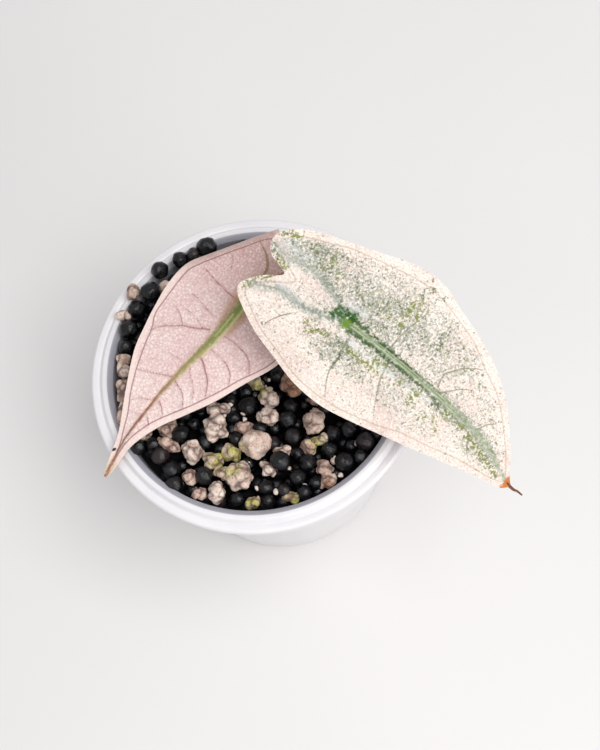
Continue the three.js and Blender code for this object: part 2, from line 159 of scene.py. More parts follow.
def smooth_line(points, per_span):
    """Points on a smooth curve through the given ones."""
    points = np.array(points, float)
    padded = [points[0], *points, points[-1]]
    line = []
    for before, start, end, after in zip(padded, padded[1:], padded[2:], padded[3:]):
        for step in range(per_span):
            t = step / per_span
            bend = (2 * before - 5 * start + 4 * end - after) * t ** 2
            twist = (3 * start - before - 3 * end + after) * t ** 3
            line.append((2 * start + (end - before) * t + bend + twist) / 2)
    return np.array([*line, points[-1]])


def spun(profile, steps, rounding=0):
    """A closed turned shape from [radius, height] pairs in mm, with its corners rounded first."""
    bm = bmesh.new()
    corners = [bm.verts.new((radius * mm, 0, height * mm)) for radius, height in profile]
    for pair in zip(corners, corners[1:]):
        bm.edges.new(pair)
    if rounding:
        bmesh.ops.bevel(bm, geom=corners[1:-1], offset=rounding * mm, offset_type="OFFSET",
                        affect="VERTICES", segments=3, profile=0.5, material=-1)
    bmesh.ops.spin(bm, geom=bm.verts[:] + bm.edges[:], cent=(0, 0, 0), axis=(0, 0, 1), angle=2 * math.pi,
                   steps=steps, use_merge=True)
    bmesh.ops.remove_doubles(bm, verts=bm.verts, dist=seam)
    bmesh.ops.recalc_face_normals(bm, faces=bm.faces)
    return bm


def sweep_stem(bm, path, radii, sides):
    """A round stem along a path of points in mm, with a radius at each point and both ends closed."""
    path = [Vector(point) for point in path]
    placed = []
    for index, (point, radius) in enumerate(zip(path, radii)):
        heading = path[min(index + 1, len(path) - 1)] - path[max(index - 1, 0)]
        turn = Vector((0, 0, 1)).rotation_difference(heading).to_matrix().to_4x4()
        placed.append(Matrix.Translation(point * mm) @ turn @ Matrix.Scale(radius * mm, 4))
    ring = bmesh.ops.create_circle(bm, cap_ends=True, radius=1, segments=sides, matrix=placed[0])["verts"]
    loop = {edge for vert in ring for edge in vert.link_edges}
    for last, here in zip(placed, placed[1:]):
        grown = bmesh.ops.extrude_edge_only(bm, edges=list(loop))["geom"]
        ring = [item for item in grown if isinstance(item, bmesh.types.BMVert)]
        held = set(ring)
        loop = {edge for vert in ring for edge in vert.link_edges if held.issuperset(edge.verts)}
        bmesh.ops.transform(bm, matrix=here @ last.inverted(), verts=ring)
    bmesh.ops.contextual_create(bm, geom=list(loop))
    bmesh.ops.recalc_face_normals(bm, faces=bm.faces)


print("3 points give a smooth line of", len(smooth_line([[0, 0], [1, 1], [2, 0]], 4)), "points")

# %% [markdown]
# The last steps are the same for every piece. Its mesh gets its materials and its smooth shading, and it says
# which body it rides on and which imported nodes it stands for.

# %% Helpers for pieces
smooth_limit = math.radians(45)


def settle(piece):
    """Takes what a piece's modifiers make as its own mesh."""
    seen = bpy.context.evaluated_depsgraph_get()
    mesh = bpy.data.meshes.new_from_object(piece.evaluated_get(seen))
    piece.modifiers.clear()
    piece.data = mesh
    piece.data.name = piece.name


def mesh_object(name, bm, materials):
    """An object in the scene with what a bmesh holds, and the bmesh is freed."""
    mesh = bpy.data.meshes.new(name)
    bm.to_mesh(mesh)
    bm.free()
    for material in materials:
        mesh.materials.append(material)
    made = bpy.data.objects.new(name, mesh)
    bpy.context.scene.collection.objects.link(made)
    return made


def make_piece(name, bm, materials, nodes=()):
    """A finished piece from a bmesh. It rides on the plant's only body and stands for the nodes named."""
    piece = mesh_object(name, bm, materials)
    piece.data.shade_smooth()
    piece.data.set_sharp_from_angle(angle=smooth_limit)
    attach(piece, "root")
    if nodes:
        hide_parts(*nodes)
    print(name, len(piece.data.polygons), "faces")
    return piece


print("edges stay sharp over", round(math.degrees(smooth_limit)), "degrees")

# %% [markdown]
# The pot is thin polypropylene, injection moulded and left milky white. Plastic of this kind scatters light
# inside its wall, which gives soft shadows and a slightly warm white, and the mould leaves a satin skin
# with very fine rings from the turning of the tool. On the inside of the wall above the filling the colour is
# darkened to lilac grey as painted shade and a painted reflection of the dark filling, and the mesh marks
# where with an attribute.

# %% Moulded polypropylene
ring_pitch = 0.9 * mm
skin_grain = 0.25 * mm
even_scatter = (1, 0.9, 0.85)

polypropylene, shader, add, place = start_material("moulded_polypropylene")
clouds = add("TexNoise", {"Vector": place, "Scale": 1 / (14 * mm), "Detail": 3})
tint = add("ValToRGB", {0: clouds}, stops=[(0.3, "#E1DFE2"), (0.7, "#E8E6E6")])
# painted shade: the inside of the wall above the filling turns lilac grey, for its shade and the dark
# filling's reflection
inner_wall_shade = add("Attribute", attribute_name="inner_wall_shade").outputs["Fac"]
inner_wall_shade_share = add("MapRange", {0: inner_wall_shade, 1: 0.2, 2: 0.8, 3: 0, 4: 0.8})
wall_colour = add("Mix", {0: inner_wall_shade_share, 6: tint, 7: "#8A8994"}, data_type="RGBA")
rings = add("TexWave", {"Vector": place, "Scale": 0.05 / ring_pitch, "Distortion": 1}, wave_type="BANDS",
            bands_direction="Z")
grain = add("TexNoise", {"Vector": place, "Scale": 1 / skin_grain})
skin = add("Math", {0: rings.outputs[1], 1: grain}, operation="ADD")
bump = add("Bump", {"Height": skin, "Strength": 0.12, "Distance": 0.06 * mm})
plug(shader, {"Base Color": wall_colour, "Normal": bump, "Roughness": 0.34, "IOR": 1.49,
              "Subsurface Weight": 0.2, "Subsurface Scale": 1 * mm, "Subsurface Radius": even_scatter})
print(polypropylene.name)

# %% [markdown]
# The pot is a thin tapered wall with a floor, two fine ribs, a flange, an outer ring, a groove and a
# rounded inner lip. A lathe shape suits it: one half section, its corners rounded, is spun about the axis.
# The drain holes could be cut in the section's floor only as slots, so they are taken out by a Boolean
# instead.

# %% Pot
pot_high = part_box("pot")[1]
pot_height = pot_high.z / mm
rim_radius = pot_high.x / mm
base_radius = 32
wall = 1.2
floor_thickness = 1.6
throat_radius = rim_radius - 6.3
throat_height = pot_height - 1.1
corner_rounding = 0.2
shown_wall = 0.5 * pot_height
inner_wall_shade_reach = 1
inner_wall_shade_lip_reach = 1.7
rib_depths = (11, 8)
rib_profile = ((-0.8, 0), (-0.3, 0.4), (0.3, 0.4), (0.8, 0))
lip = [[0.5, 4], [0, 3.4], [0, 1.7], [0.5, 1.2], [1.8, 1.3], [2.4, 1.6], [2.9, 0.8], [3.4, 0], [4.6, 0],
       [5.2, 0.3]]


def inner_radius(height):
    """The radius of the pot's inside at a height over its base."""
    foot = base_radius - wall
    return foot + (throat_radius - foot) * (height - floor_thickness) / (throat_height - floor_thickness)


section = [[0, 0], [base_radius - 1, 0], [base_radius, 1]]
for depth in rib_depths:
    for off, rise in rib_profile:
        height = pot_height - depth + off
        section.append([inner_radius(height) + wall + rise, height])
section.append([inner_radius(pot_height - 4) + wall, pot_height - 4])
section += [[rim_radius - inward, pot_height - down] for inward, down in lip]
section += [[throat_radius, throat_height], [inner_radius(floor_thickness), floor_thickness],
            [0, floor_thickness]]
bm = spun(section, steps=160, rounding=corner_rounding)
# painted shade: how near each point of the upper wall and lip lies to the inside face
inner_wall_shade_layer = bm.verts.layers.float.new("inner_wall_shade")
for vert in bm.verts:
    radius = math.hypot(vert.co.x, vert.co.y) / mm
    reach = inner_wall_shade_lip_reach if vert.co.z > (throat_height - 0.1) * mm else inner_wall_shade_reach
    if vert.co.z > shown_wall * mm:
        vert[inner_wall_shade_layer] = min(1, max(0, 2 * (inner_radius(vert.co.z / mm) + reach - radius)))
pot = make_piece("pot_moulding", bm, [polypropylene], ["pot"])

drain_count = 6
drain_circle = 20
drain_radius = 2
bm = bmesh.new()
for index in range(drain_count):
    angle = 2 * math.pi * index / drain_count
    centre = Vector((drain_circle * math.cos(angle), drain_circle * math.sin(angle), 0)) * mm
    bmesh.ops.create_cone(bm, cap_ends=True, segments=32, radius1=drain_radius * mm,
                          radius2=drain_radius * mm, depth=4 * floor_thickness * mm,
                          matrix=Matrix.Translation(centre))
drill = mesh_object("drill", bm, [])
cut = pot.modifiers.new("drain_holes", "BOOLEAN")
cut.operation = "DIFFERENCE"
cut.object = drill
settle(pot)
bpy.data.objects.remove(drill)
pot.data.set_sharp_from_angle(angle=smooth_limit)
print("pot with drain holes", len(pot.data.polygons), "faces")

# %% [markdown]
# The pellets are fired clay, nearly black, with a hard skin that shines in soft grey spots. Some are
# browner and duller than others, so each pellet carries a tone of its own, which the material reads as an
# attribute. A tone below zero marks the bed under the pellets, which is painted nearly black and dull as the
# shade in the gaps between them.

# %% Fired clay pellets
clay_pore = 0.35 * mm

fired_clay, shader, add, place = start_material("fired_clay")
tone = add("Attribute", attribute_name="tone").outputs["Fac"]
body = add("ValToRGB", {0: tone}, stops=[(0, "#040508"), (0.7, "#0A0B0F"), (0.88, "#141012"),
                                         (1, "#2A2021")])
dust = add("TexNoise", {"Vector": place, "Scale": 1 / (1.6 * mm), "Detail": 5})
dusty = add("MapRange", {0: dust, 1: 0.56, 2: 0.8, 3: 0, 4: 0.3})
# painted shade: the bed turns nearly black and dull, as the shade in the gaps between pellets
shaded_bed = add("MapRange", {0: tone, 1: -1, 2: 0, 3: 1, 4: 0})
skin_colour = add("Mix", {0: dusty, 6: body, 7: "#453E42"}, data_type="RGBA")
skin_colour = add("Mix", {0: shaded_bed, 6: skin_colour, 7: "#020203"}, data_type="RGBA")
gloss = add("MapRange", {0: dust, 1: 0.3, 2: 0.75, 3: 0.06, 4: 0.32})
dull = add("Math", {0: gloss, 1: shaded_bed}, operation="ADD")
pores = add("TexNoise", {"Vector": place, "Scale": 1 / clay_pore, "Detail": 2})
bump = add("Bump", {"Height": pores, "Strength": 0.7, "Distance": 0.2 * mm})
plug(shader, {"Base Color": skin_colour, "Roughness": dull, "Normal": bump, "IOR": 1.45})
print(fired_clay.name)

# %% [markdown]
# The filling is a bed with round pellets heaped on it, a little higher at the back left, where some lie on
# the pot's lip. The pellets that the photo shows keep their places, and the rest fill the gaps by a seeded
# draw: first a layer beside them, then a lower one that closes what is left. A draw says how often it tries,
# how high it lies, how far it keeps off the stones and how fine its pellets are.

# %% Where the pellets lie
mix_level = 77.8
heap_slope = 0.05
heap_heading = math.radians(117)
pellet_radii = (1.9, 2.8)
pellet_unrest = 0.5
wall_squeeze = 0.2
closeness = 0.84
pellet_draws = [("upper", 6000, 0, 0.8, 3), ("lower", 5000, -2.7, 0, 2)]
shown_fineness = 4
heap_seed = 4127
corm_place = Vector((23.1, -4.1))
corm_radius = 5.4
stone_nodes = sorted(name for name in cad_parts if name.startswith("pumice_"))
shown_pellets = [
    [-19, 36.5, 3.6, 5.2], [-4, 39.5, 3.6, 5.8], [-12.5, 38, 3.2, 4.6], [-8.5, 38.5, 3.4, 4],
    [-23.2, 31, 3.2, 5.5], [-28.5, 27.5, 1.6, 5], [-32, 22.5, 1, 5.8], [-34.2, 17.5, 0.4, 4.6],
    [-37.6, -12.5, 0.6, 4.6], [-25, -12.4, 1.2, 5.4], [-32.2, -16.8, 0.8, 5.2], [-30, -21.4, 0.8, 5],
    [-21.6, -26, 1.4, 5.4], [-30.5, -25.5, 0.2, 5], [-4.8, -9.6, 0.6, 5.6], [-9.6, -11.5, 0, 4],
    [-0.2, -28.4, 3, 5.8], [5, -16.6, 0.8, 5.2], [5, -21.8, 1, 4.8], [3.2, -33.5, 1.2, 5], [7, -30.5, 1.6, 5],
    [16, -24, 0.8, 4.8], [20.6, -24.2, 0.8, 4.8], [24, -29, 1.6, 5.2], [13.9, -28.2, 0.8, 4.8],
    [17, -33, 1.8, 5.4], [-6, -33.6, 0.4, 4.6], [-1.4, -35.8, 0.4, 4], [-6.4, -37.4, 0, 4],
    [4, -38, 0.6, 4.4], [-14.5, -34.6, 0.2, 4], [21.6, -32.6, 0.8, 4.6],
]


def heap_level(x, y):
    """The height of the heaped mix at a place, in mm."""
    return mix_level + heap_slope * (x * math.cos(heap_heading) + y * math.sin(heap_heading))


stone_spots = []
for node in stone_nodes:
    low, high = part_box(node)
    middle = (low + high) / 2 / mm
    stone_spots.append((middle.x, middle.y, (high.x - low.x + high.y - low.y) / 4 / mm))

draw = np.random.default_rng(heap_seed)
pellets = [(x, y, rise, size / 2, shown_fineness) for x, y, rise, size in shown_pellets]
for layer, tries, drop, stone_keep, fineness in pellet_draws:
    placed = pellets if layer == "upper" else []
    for _ in range(tries):
        radius = draw.uniform(*pellet_radii)
        reach = (inner_radius(mix_level + drop) - radius + wall_squeeze) * math.sqrt(draw.random())
        angle = draw.uniform(0, 2 * math.pi)
        x, y = reach * math.cos(angle), reach * math.sin(angle)
        rise = drop + draw.uniform(-pellet_unrest, pellet_unrest)
        free = all(math.hypot(x - other[0], y - other[1]) > closeness * (radius + other[3])
                   for other in placed)
        off_stones = all(math.hypot(x - sx, y - sy) > stone_keep * (size + radius)
                         for sx, sy, size in stone_spots)
        off_corm = math.hypot(x - corm_place.x, y - corm_place.y) > corm_radius + radius
        if free and off_stones and off_corm:
            placed.append((x, y, rise, radius, fineness))
    if layer != "upper":
        pellets += placed
print("pellets", len(pellets))

# %% [markdown]
# The bed is turned like the pot, and its top follows the heap. Each pellet is an icosphere with a little
# noise, because a true sphere looks like a bead, and the lower ones have fewer faces.

# %% Potting mix
bed_drop = 1.6
bed_sink = 4.8
bed_clearance = 0.6
# the tone that marks the bed as painted shade
shaded_bed_tone = -1
pellet_lumps = ((2.4, 0.14), (1.1, 0.07))
bed_top = mix_level - bed_drop
brim = inner_radius(bed_top) - bed_clearance
foot = floor_thickness + 0.3
shaded_bed = [[0, foot], [inner_radius(foot) - bed_clearance, foot]]
shaded_bed += [[brim * share, bed_top] for share in (1, 0.75, 0.5, 0.25, 0)]
bm = spun(shaded_bed, steps=96)
tone_layer = bm.verts.layers.float.new("tone")
for vert in bm.verts:
    vert[tone_layer] = shaded_bed_tone
    if vert.co.z > (bed_top - 0.1) * mm:
        vert.co.z = (heap_level(vert.co.x / mm, vert.co.y / mm) - bed_sink) * mm
for x, y, rise, radius, fineness in pellets:
    centre = Vector((x, y, heap_level(x, y) + rise)) * mm
    grown = bmesh.ops.create_icosphere(bm, subdivisions=fineness, radius=radius * mm,
                                       matrix=Matrix.Translation(centre))["verts"]
    tone = draw.random()
    shift = Vector(draw.uniform(-50, 50, 3))
    for vert in grown:
        ray = vert.co - centre
        lumpy = sum(share * noise.noise(ray / (size * mm) + shift) for size, share in pellet_lumps)
        vert.co = centre + ray * (1 + lumpy)
        vert[tone_layer] = tone
make_piece("potting_mix_pellets", bm, [fired_clay], ["potting_mix"])

# %% [markdown]
# The pale stones are pumice, a frothy volcanic glass: matt, tan to pinkish grey, pitted all over. Where
# they stay damp, algae tint them yellow-green, and a few have a rusty patch. Each stone carries how green
# and how rusty it is as attributes, so one material serves them all. It also carries how deep in a hollow
# each point lies, and the material paints shade there: in the creases and pits, and less on the knobs. The
# material's own small pits get painted shade too.

# %% Pumice
pit_size = 0.7 * mm
stone_fields = ("tone", "algae", "rust", "hollow_shade")

pumice, shader, add, place = start_material("pumice")
tone, algae, rust, hollow_shade = (add("Attribute", attribute_name=name).outputs["Fac"] for name in stone_fields)
froth = add("TexNoise", {"Vector": place, "Scale": 1 / (1.8 * mm), "Detail": 6})
shade = add("Math", {0: froth, 1: tone}, operation="ADD")
body = add("ValToRGB", {0: shade}, stops=[(0.3, "#B89888"), (0.5, "#D4B8A8"), (0.7, "#E6D2C4"),
                                          (0.95, "#F2E8DE")])
# painted shade in the creases and hollows of the stone
crease_shade = add("MapRange", {0: hollow_shade, 1: 0.15, 2: 0.9, 3: 0, 4: 0.85})
cells = add("TexVoronoi", {"Vector": place, "Scale": 1 / pit_size, "Randomness": 1})
# painted shade in the small pits, which the bump also sinks
shaded_pits = add("MapRange", {0: cells.outputs["Distance"], 1: 0.1, 2: 0.3, 3: 0.7, 4: 0})
patchy = add("MapRange", {0: froth, 1: 0.36, 2: 0.52})
green = add("Math", {0: algae, 1: patchy}, operation="MULTIPLY")
stone_colour = body
for mask, code in ((green, "#B2B436"), (rust, "#B07F5C"), (crease_shade, "#5A3F36"), (shaded_pits, "#6E574B")):
    stone_colour = add("Mix", {0: mask, 6: stone_colour, 7: code}, data_type="RGBA")
fine = add("TexNoise", {"Vector": place, "Scale": 1 / (0.4 * mm), "Detail": 4})
height = add("Math", {0: fine, 1: shaded_pits}, operation="SUBTRACT")
bump = add("Bump", {"Height": height, "Strength": 0.8, "Distance": 0.3 * mm})
plug(shader, {"Base Color": stone_colour, "Roughness": 0.92, "Normal": bump, "IOR": 1.5})
print(pumice.name)

# %% [markdown]
# Each stone could be sculpted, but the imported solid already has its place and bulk. A copy of it is merged,
# divided and relaxed to a smooth lump. Noise then swells it unevenly, the distance to scattered points
# gives round knobs with creases between them, and a finer one pits it. The stones show from close by, so
# their surface is real shape and the bump is left with the grain alone.

# %% Stones
algae_spots = [
    [-16.8, -22.6, 4.6], [-11.6, -22.4, 4.2], [-13.6, -27, 3.6], [-0.7, -6, 4], [10.7, -25.5, 3.2],
    [-34.8, -17.6, 4.5], [-32.3, -20.7, 4], [0.3, -39.8, 4], [-10.7, -38, 4],
]
rust_spots = [[10.9, -38.3, 2.8], [9, -8.4, 4.5]]
stone_cuts = 3
stone_relaxing = 5
knobs = [(3, 1.1), (1.3, 0.4)]
swells = [(2, 0.9), (0.7, 0.3)]
worn = {"pumice_01": 0.5}
crease_width = 0.2
pit_spread = 0.8
pit_depth = 0.22
pit_reach = 0.4
stone_growth = 0.35
stone_tones = (-0.06, 0.22)
spot_strength = 1.2
most_tinted = 0.85


def spot_share(place, spots):
    """How far into one of the [x, y, radius] spots a place lies, from 0 to 1."""
    shares = [spot_strength * (1 - math.hypot(place.x / mm - x, place.y / mm - y) / radius)
              for x, y, radius in spots]
    return min(most_tinted, max(0, *shares))


for node in stone_nodes:
    bm = bmesh.new()
    bm.from_mesh(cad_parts[node].data)
    bmesh.ops.remove_doubles(bm, verts=bm.verts, dist=10 * seam)
    bmesh.ops.subdivide_edges(bm, edges=bm.edges, cuts=stone_cuts, use_grid_fill=True)
    for _ in range(stone_relaxing):
        bmesh.ops.smooth_vert(bm, verts=bm.verts, factor=0.5, use_axis_x=True, use_axis_y=True,
                              use_axis_z=True)
    bm.normal_update()
    stone_layers = [bm.verts.layers.float.new(name) for name in stone_fields]
    tone = draw.uniform(*stone_tones)
    knobbly = worn.get(node, 1)
    for vert in bm.verts:
        lift = sum(depth * noise.noise(vert.co / (size * mm)) for size, depth in swells)
        crease = 0
        for size, depth in knobs:
            near = noise.voronoi(vert.co / (size * mm))[0]
            lift += knobbly * depth * (0.5 - near[0])
            crease = max(crease, knobbly * (1 - (near[1] - near[0]) / crease_width) * depth)
        pit = max(0, pit_reach - noise.voronoi(vert.co / (pit_spread * mm))[0][0]) / pit_reach
        # painted shade: more deep in a crease or pit, less on a raised knob
        hollow_shade = min(1, max(0, 0.15 + 0.7 * crease + 0.3 * pit - 0.5 * lift))
        shares = (tone, spot_share(vert.co, algae_spots), spot_share(vert.co, rust_spots), hollow_shade)
        for layer, share in zip(stone_layers, shares):
            vert[layer] = share
        vert.co += vert.normal * (stone_growth + lift - pit_depth * pit) * mm
    make_piece(node.replace("pumice", "stone"), bm, [pumice], [node])

# %% [markdown]
# Between the pellets lie crumbs that broke off the pumice, white and about a millimetre across. The larger
# ones keep their places from the photo, and a seeded draw scatters a few more.

# %% Crumbs
shown_crumbs = [
    [-9.5, -7.7, 0.8], [-6.6, -11.3, 0.7], [-6.7, -13.1, 0.7], [-8.2, -33.4, 0.8], [-9, -25.6, 0.7],
    [-21.8, -24.5, 0.6], [4.5, -36.6, 0.9], [14.9, -36.1, 0.8], [14.4, -31.7, 1.1], [-3.6, -35.7, 0.8],
    [21.9, -28.5, 0.9],
]
crumb_rise = 0.9
crumb_spread = 36
crumb_tone = 0.3
crumb_lump = 0.6
crumb_lumpiness = 0.5
drawn_radii = (0.3, 0.6)
drawn_crumbs = 50
crumbs = [*shown_crumbs]
for _ in range(drawn_crumbs):
    reach = crumb_spread * math.sqrt(draw.random())
    angle = draw.uniform(0, 2 * math.pi)
    crumbs.append([reach * math.cos(angle), reach * math.sin(angle), draw.uniform(*drawn_radii)])

bm = bmesh.new()
tone_layer = bm.verts.layers.float.new("tone")
for x, y, radius in crumbs:
    centre = Vector((x, y, heap_level(x, y) + crumb_rise)) * mm
    grown = bmesh.ops.create_icosphere(bm, subdivisions=2, radius=radius * mm,
                                       matrix=Matrix.Translation(centre))["verts"]
    for vert in grown:
        ray = vert.co - centre
        vert.co = centre + ray * (1 + crumb_lumpiness * noise.noise(vert.co / (crumb_lump * mm)))
        vert[tone_layer] = crumb_tone
make_piece("pumice_crumbs", bm, [pumice])

# %% [markdown]
# A leaf blade is a thin living sheet with a waxy skin. Both faces have the same veins in other colours, so
# the blade's mesh carries the distances to its lines as attributes, in millimetres, and the two materials
# draw them: a distance stays smooth between points of the mesh, so a drawn line stays crisp. This is the
# pink underside: dusty pink, a fine mauve net, thin dark red side veins, and a thick olive midrib. Its
# layers are a table: what each reads, the range of that, the shares at both ends of the range, and the
# colour laid on.

# %% Pink underside
net_size = 1.1 * mm
pink_fields = ("midrib", "basal", "vein", "collective", "edge", "along", "pale", "blush", "speck", "rolled")

pink_skin, shader, add, place = start_material("pink_leaf_underside")
field = {name: add("Attribute", attribute_name=name).outputs["Fac"] for name in pink_fields}
clouds = add("TexNoise", {"Vector": place, "Scale": 1 / (7 * mm), "Detail": 5})
body = add("ValToRGB", {0: clouds}, stops=[(0.32, "#E0C3BE"), (0.5, "#E8D0CA"), (0.68, "#F0DFD8")])
sparkle = add("TexNoise", {"Vector": place, "Scale": 1 / (0.55 * mm), "Detail": 2})
bent = add("Mix", {0: 0.0005, 4: place, 5: sparkle.outputs[1]}, data_type="VECTOR")
cells = add("TexVoronoi", {"Vector": bent, "Scale": 1 / net_size}, feature="DISTANCE_TO_EDGE")
fray = add("TexNoise", {"Vector": place, "Scale": 1 / (0.9 * mm), "Detail": 3})
ragged_rib = add("Math", {0: fray, 1: 2.6, 2: field["midrib"]}, operation="MULTIPLY_ADD")
ring_vein = add("Math", {0: field["collective"]}, operation="ABSOLUTE")
rib_age = add("MapRange", {0: field["along"], 1: 18, 2: 48})
rib_colour = add("ValToRGB", {0: rib_age},
                 stops=[(0, "#72803A"), (0.4, "#928C48"), (0.8, "#93694C"), (1, "#85504A")])
layers = {
    "older": (field["along"], 15, 55, 0, 0.5, "#F2DFD7"),
    "centre": (field["edge"], 3, 13, 0, 0.2, "#CBA6A8"),
    "shaded": (field["along"], 16, -10, 0, 0.6, "#B48B82"),
    # painted highlight: pale specks where the fine sparkle noise is high
    "bright": (sparkle, 0.5, 0.66, 0, 0.55, "#F3E4DD"),
    "dull": (sparkle, 0.36, 0.5, 0.3, 0, "#B88F90"),
    "net": (cells, 0.02, 0.18, 0.32, 0, "#A87A7E"),
    "margin": (field["edge"], 1, 2, 0.6, 0, "#EDD9CF"),
    # darker and browner the further the lobe rolls down past its fold
    "browned": (field["rolled"], 0.5, 5, 0, 0.55, "#A98672"),
    "halo": (field["vein"], 0.6, 4, 0.3, 0, "#B98582"),
    "side_vein": (field["vein"], 0.4, 1.1, 0.8, 0, "#84494A"),
    "ring_line": (ring_vein, 0.08, 0.28, 0.75, 0, "#80474A"),
    "tip": (field["along"], 61, 67, 0, 0.6, "#C9B46E"),
    "blush": (field["blush"], 0.2, 1.8, 0.55, 0, "#A9764F"),
    "rib_halo": (ragged_rib, 2.3, 5, 0.5, 0, "#A98A5E"),
    "rib_band": (ragged_rib, 1.7, 3.2, 0.95, 0, rib_colour),
    "pale": (field["pale"], 0.4, 1.4, 0.7, 0, "#C5C681"),
    "basal_band": (field["basal"], 0.6, 1.1, 0.85, 0, "#8E7348"),
    "speck": (field["speck"], 0.7, 1.1, 1, 0, "#241B1E"),
}
mask = {}
skin_colour = body
for name, (source, start, end, low, high, tint) in layers.items():
    mask[name] = add("MapRange", {0: source, 1: start, 2: end, 3: low, 4: high})
    skin_colour = add("Mix", {0: mask[name], 6: skin_colour, 7: tint}, data_type="RGBA")
relief_height = add("Math", {0: mask["net"], 1: sparkle}, operation="ADD")
bump = add("Bump", {"Height": relief_height, "Strength": 0.5, "Distance": 0.1 * mm})
plug(shader, {"Base Color": skin_colour, "Normal": bump, "Roughness": 0.5, "IOR": 1.42,
              "Subsurface Weight": 0.1, "Subsurface Scale": 0.5 * mm, "Subsurface Radius": even_scatter,
              "Sheen Weight": 0.1})
print(pink_skin.name)

# %% [markdown]
# The upper face is cream where the leaf has lost its green, and splashed and dotted with olive and dark
# green where some is left, most of it beside the midrib. How green a place is comes as an attribute of the
# mesh: it raises clouds of noise over the level from which they are drawn, and it says how many of the
# Voronoi cells hold a dot.

# %% Cream and green upper face
green_fields = ("midrib", "basal", "vein", "collective", "edge", "along", "greenness", "flank", "pale",
                "streak", "junction", "bright", "olive", "dark")

green_skin, shader, add, place = start_material("variegated_leaf_upper_face")
field = {name: add("Attribute", attribute_name=name).outputs["Fac"] for name in green_fields}
clouds = add("TexNoise", {"Vector": place, "Scale": 1 / (8 * mm), "Detail": 5})
body = add("ValToRGB", {0: clouds}, stops=[(0.3, "#DEC8BF"), (0.5, "#E8DACF"), (0.7, "#EEE4D9")])
fray = add("TexNoise", {"Vector": place, "Scale": 1 / (0.9 * mm), "Detail": 4})
grit = add("TexNoise", {"Vector": place, "Scale": 1 / (0.5 * mm), "Detail": 2})
wash = add("MapRange", {0: field["greenness"], 1: 0.1, 2: 1, 3: 0, 4: 0.6})
blush = add("MapRange", {0: grit, 1: 0.36, 2: 0.52, 3: 0.6, 4: 0})
layers = [(wash, "#C6C5BB"), (blush, "#CFB5A8")]
mottles = (
    (0.95, 0.27, 0.62, 0.76, 0.8, "#ABA99D"), (0.66, 0.25, 0.67, 0.78, 0.75, "#85877A"),
    (1.3, 0.19, 0.7, 0.8, 0.6, "#8F9058"), (0.8, 0.14, 0.65, 0.74, 0.8, "#56613F"),
)
for size, lift, low, high, strength, code in mottles:
    patchy = add("TexNoise", {"Vector": place, "Scale": 1 / (size * mm), "Detail": 2})
    raised = add("Math", {0: field["greenness"], 1: lift, 2: patchy}, operation="MULTIPLY_ADD")
    mottle = add("MapRange", {0: raised, 1: low, 2: high, 3: 0, 4: strength})
    layers.append((mottle, code))
warped = add("Mix", {0: 0.0009, 4: place, 5: fray.outputs[1]}, data_type="VECTOR")
dots_drawn = (
    (0.9, 0.3, 0.42, 0.75, "#7C8668"), (1.5, 0.3, 0.34, 0.85, "#5A6A44"), (0.6, 0.35, 0.42, 0.7, "#6A7154"),
)
for size, share, width, strength, code in dots_drawn:
    dots = add("TexVoronoi", {"Vector": warped, "Scale": 1 / (size * mm)})
    chance = add("SeparateColor", {0: dots.outputs["Color"]})
    limit = add("Math", {0: field["greenness"], 1: share}, operation="MULTIPLY")
    picked = add("Math", {0: chance, 1: limit}, operation="LESS_THAN")
    dot = add("MapRange", {0: dots.outputs["Distance"], 1: 0.5 * width, 2: width, 3: strength, 4: 0})
    drawn = add("Math", {0: dot, 1: picked}, operation="MULTIPLY")
    layers.append((drawn, code))
print("washes, mottles and dots:", len(layers))

# %% [markdown]
# Over them lie the light grit, the thin veins and the bands that follow lines of the leaf. One kind of
# band is a painted reflection, pale blue-grey streaks beside the midrib and on the lobes, and pale flecks
# over all are painted highlights. Noise frays a band's edge. A band has the distances at which it is full and
# gone, its strength, its colour, and a gate that lets it through.

# %% Bands and veins of the upper face
frays = (("midrib", 2), ("basal", 3), ("flank", 3.4), ("streak", 3), ("junction", 3), ("bright", 1.6),
         ("olive", 6), ("dark", 5))
ragged = {}
for name, spread in frays:
    centred = add("Math", {0: fray, 1: 0.5}, operation="SUBTRACT")
    ragged[name] = add("Math", {0: centred, 1: 2 * spread, 2: field[name]}, operation="MULTIPLY_ADD")
light_grit = add("MapRange", {0: grit, 1: 0.54, 2: 0.66, 3: 0, 4: 0.65})
layers.append((light_grit, "#F5EDE6"))
speckle = add("MapRange", {0: grit, 1: 0.6, 2: 0.5, 3: 0.3, 4: 1})
near_rib = add("MapRange", {0: field["along"], 1: 30, 2: 42, 3: 1, 4: 0})
fading = add("MapRange", {0: field["along"], 1: 20, 2: 38, 3: 1, 4: 0.5})
bands = (
    # the first band is a painted reflection: pale blue-grey streaks beside the midrib and on the lobes
    ("streak", 0.3, 2.2, 0.5, "#CFD1D1", 1), ("olive", 0.2, 1.8, 0.9, "#707A20", speckle),
    ("dark", 0.2, 1.6, 0.85, "#455A38", speckle), ("basal", 0.3, 1.9, 0.65, "#949C93", 1),
    ("midrib", 0.7, 1.8, 0.65, "#8B9A7C", 1), ("flank", 0.2, 1.9, 0.97, "#234A05", fading),
    ("midrib", 0.5, 1.5, 0.7, "#74834E", near_rib), ("junction", 0.4, 2, 0.97, "#1C5000", 1),
    ("bright", 0.3, 1.4, 0.9, "#628400", 1),
)
ring_vein = add("Math", {0: field["collective"]}, operation="ABSOLUTE")
ring_line = add("MapRange", {0: ring_vein, 1: 0.08, 2: 0.3, 3: 0.48, 4: 0})
side_vein = add("MapRange", {0: field["vein"], 1: 0.5, 2: 1.3, 3: 0.85, 4: 0})
layers += [(ring_line, "#A98F78"), (side_vein, "#7D755C")]
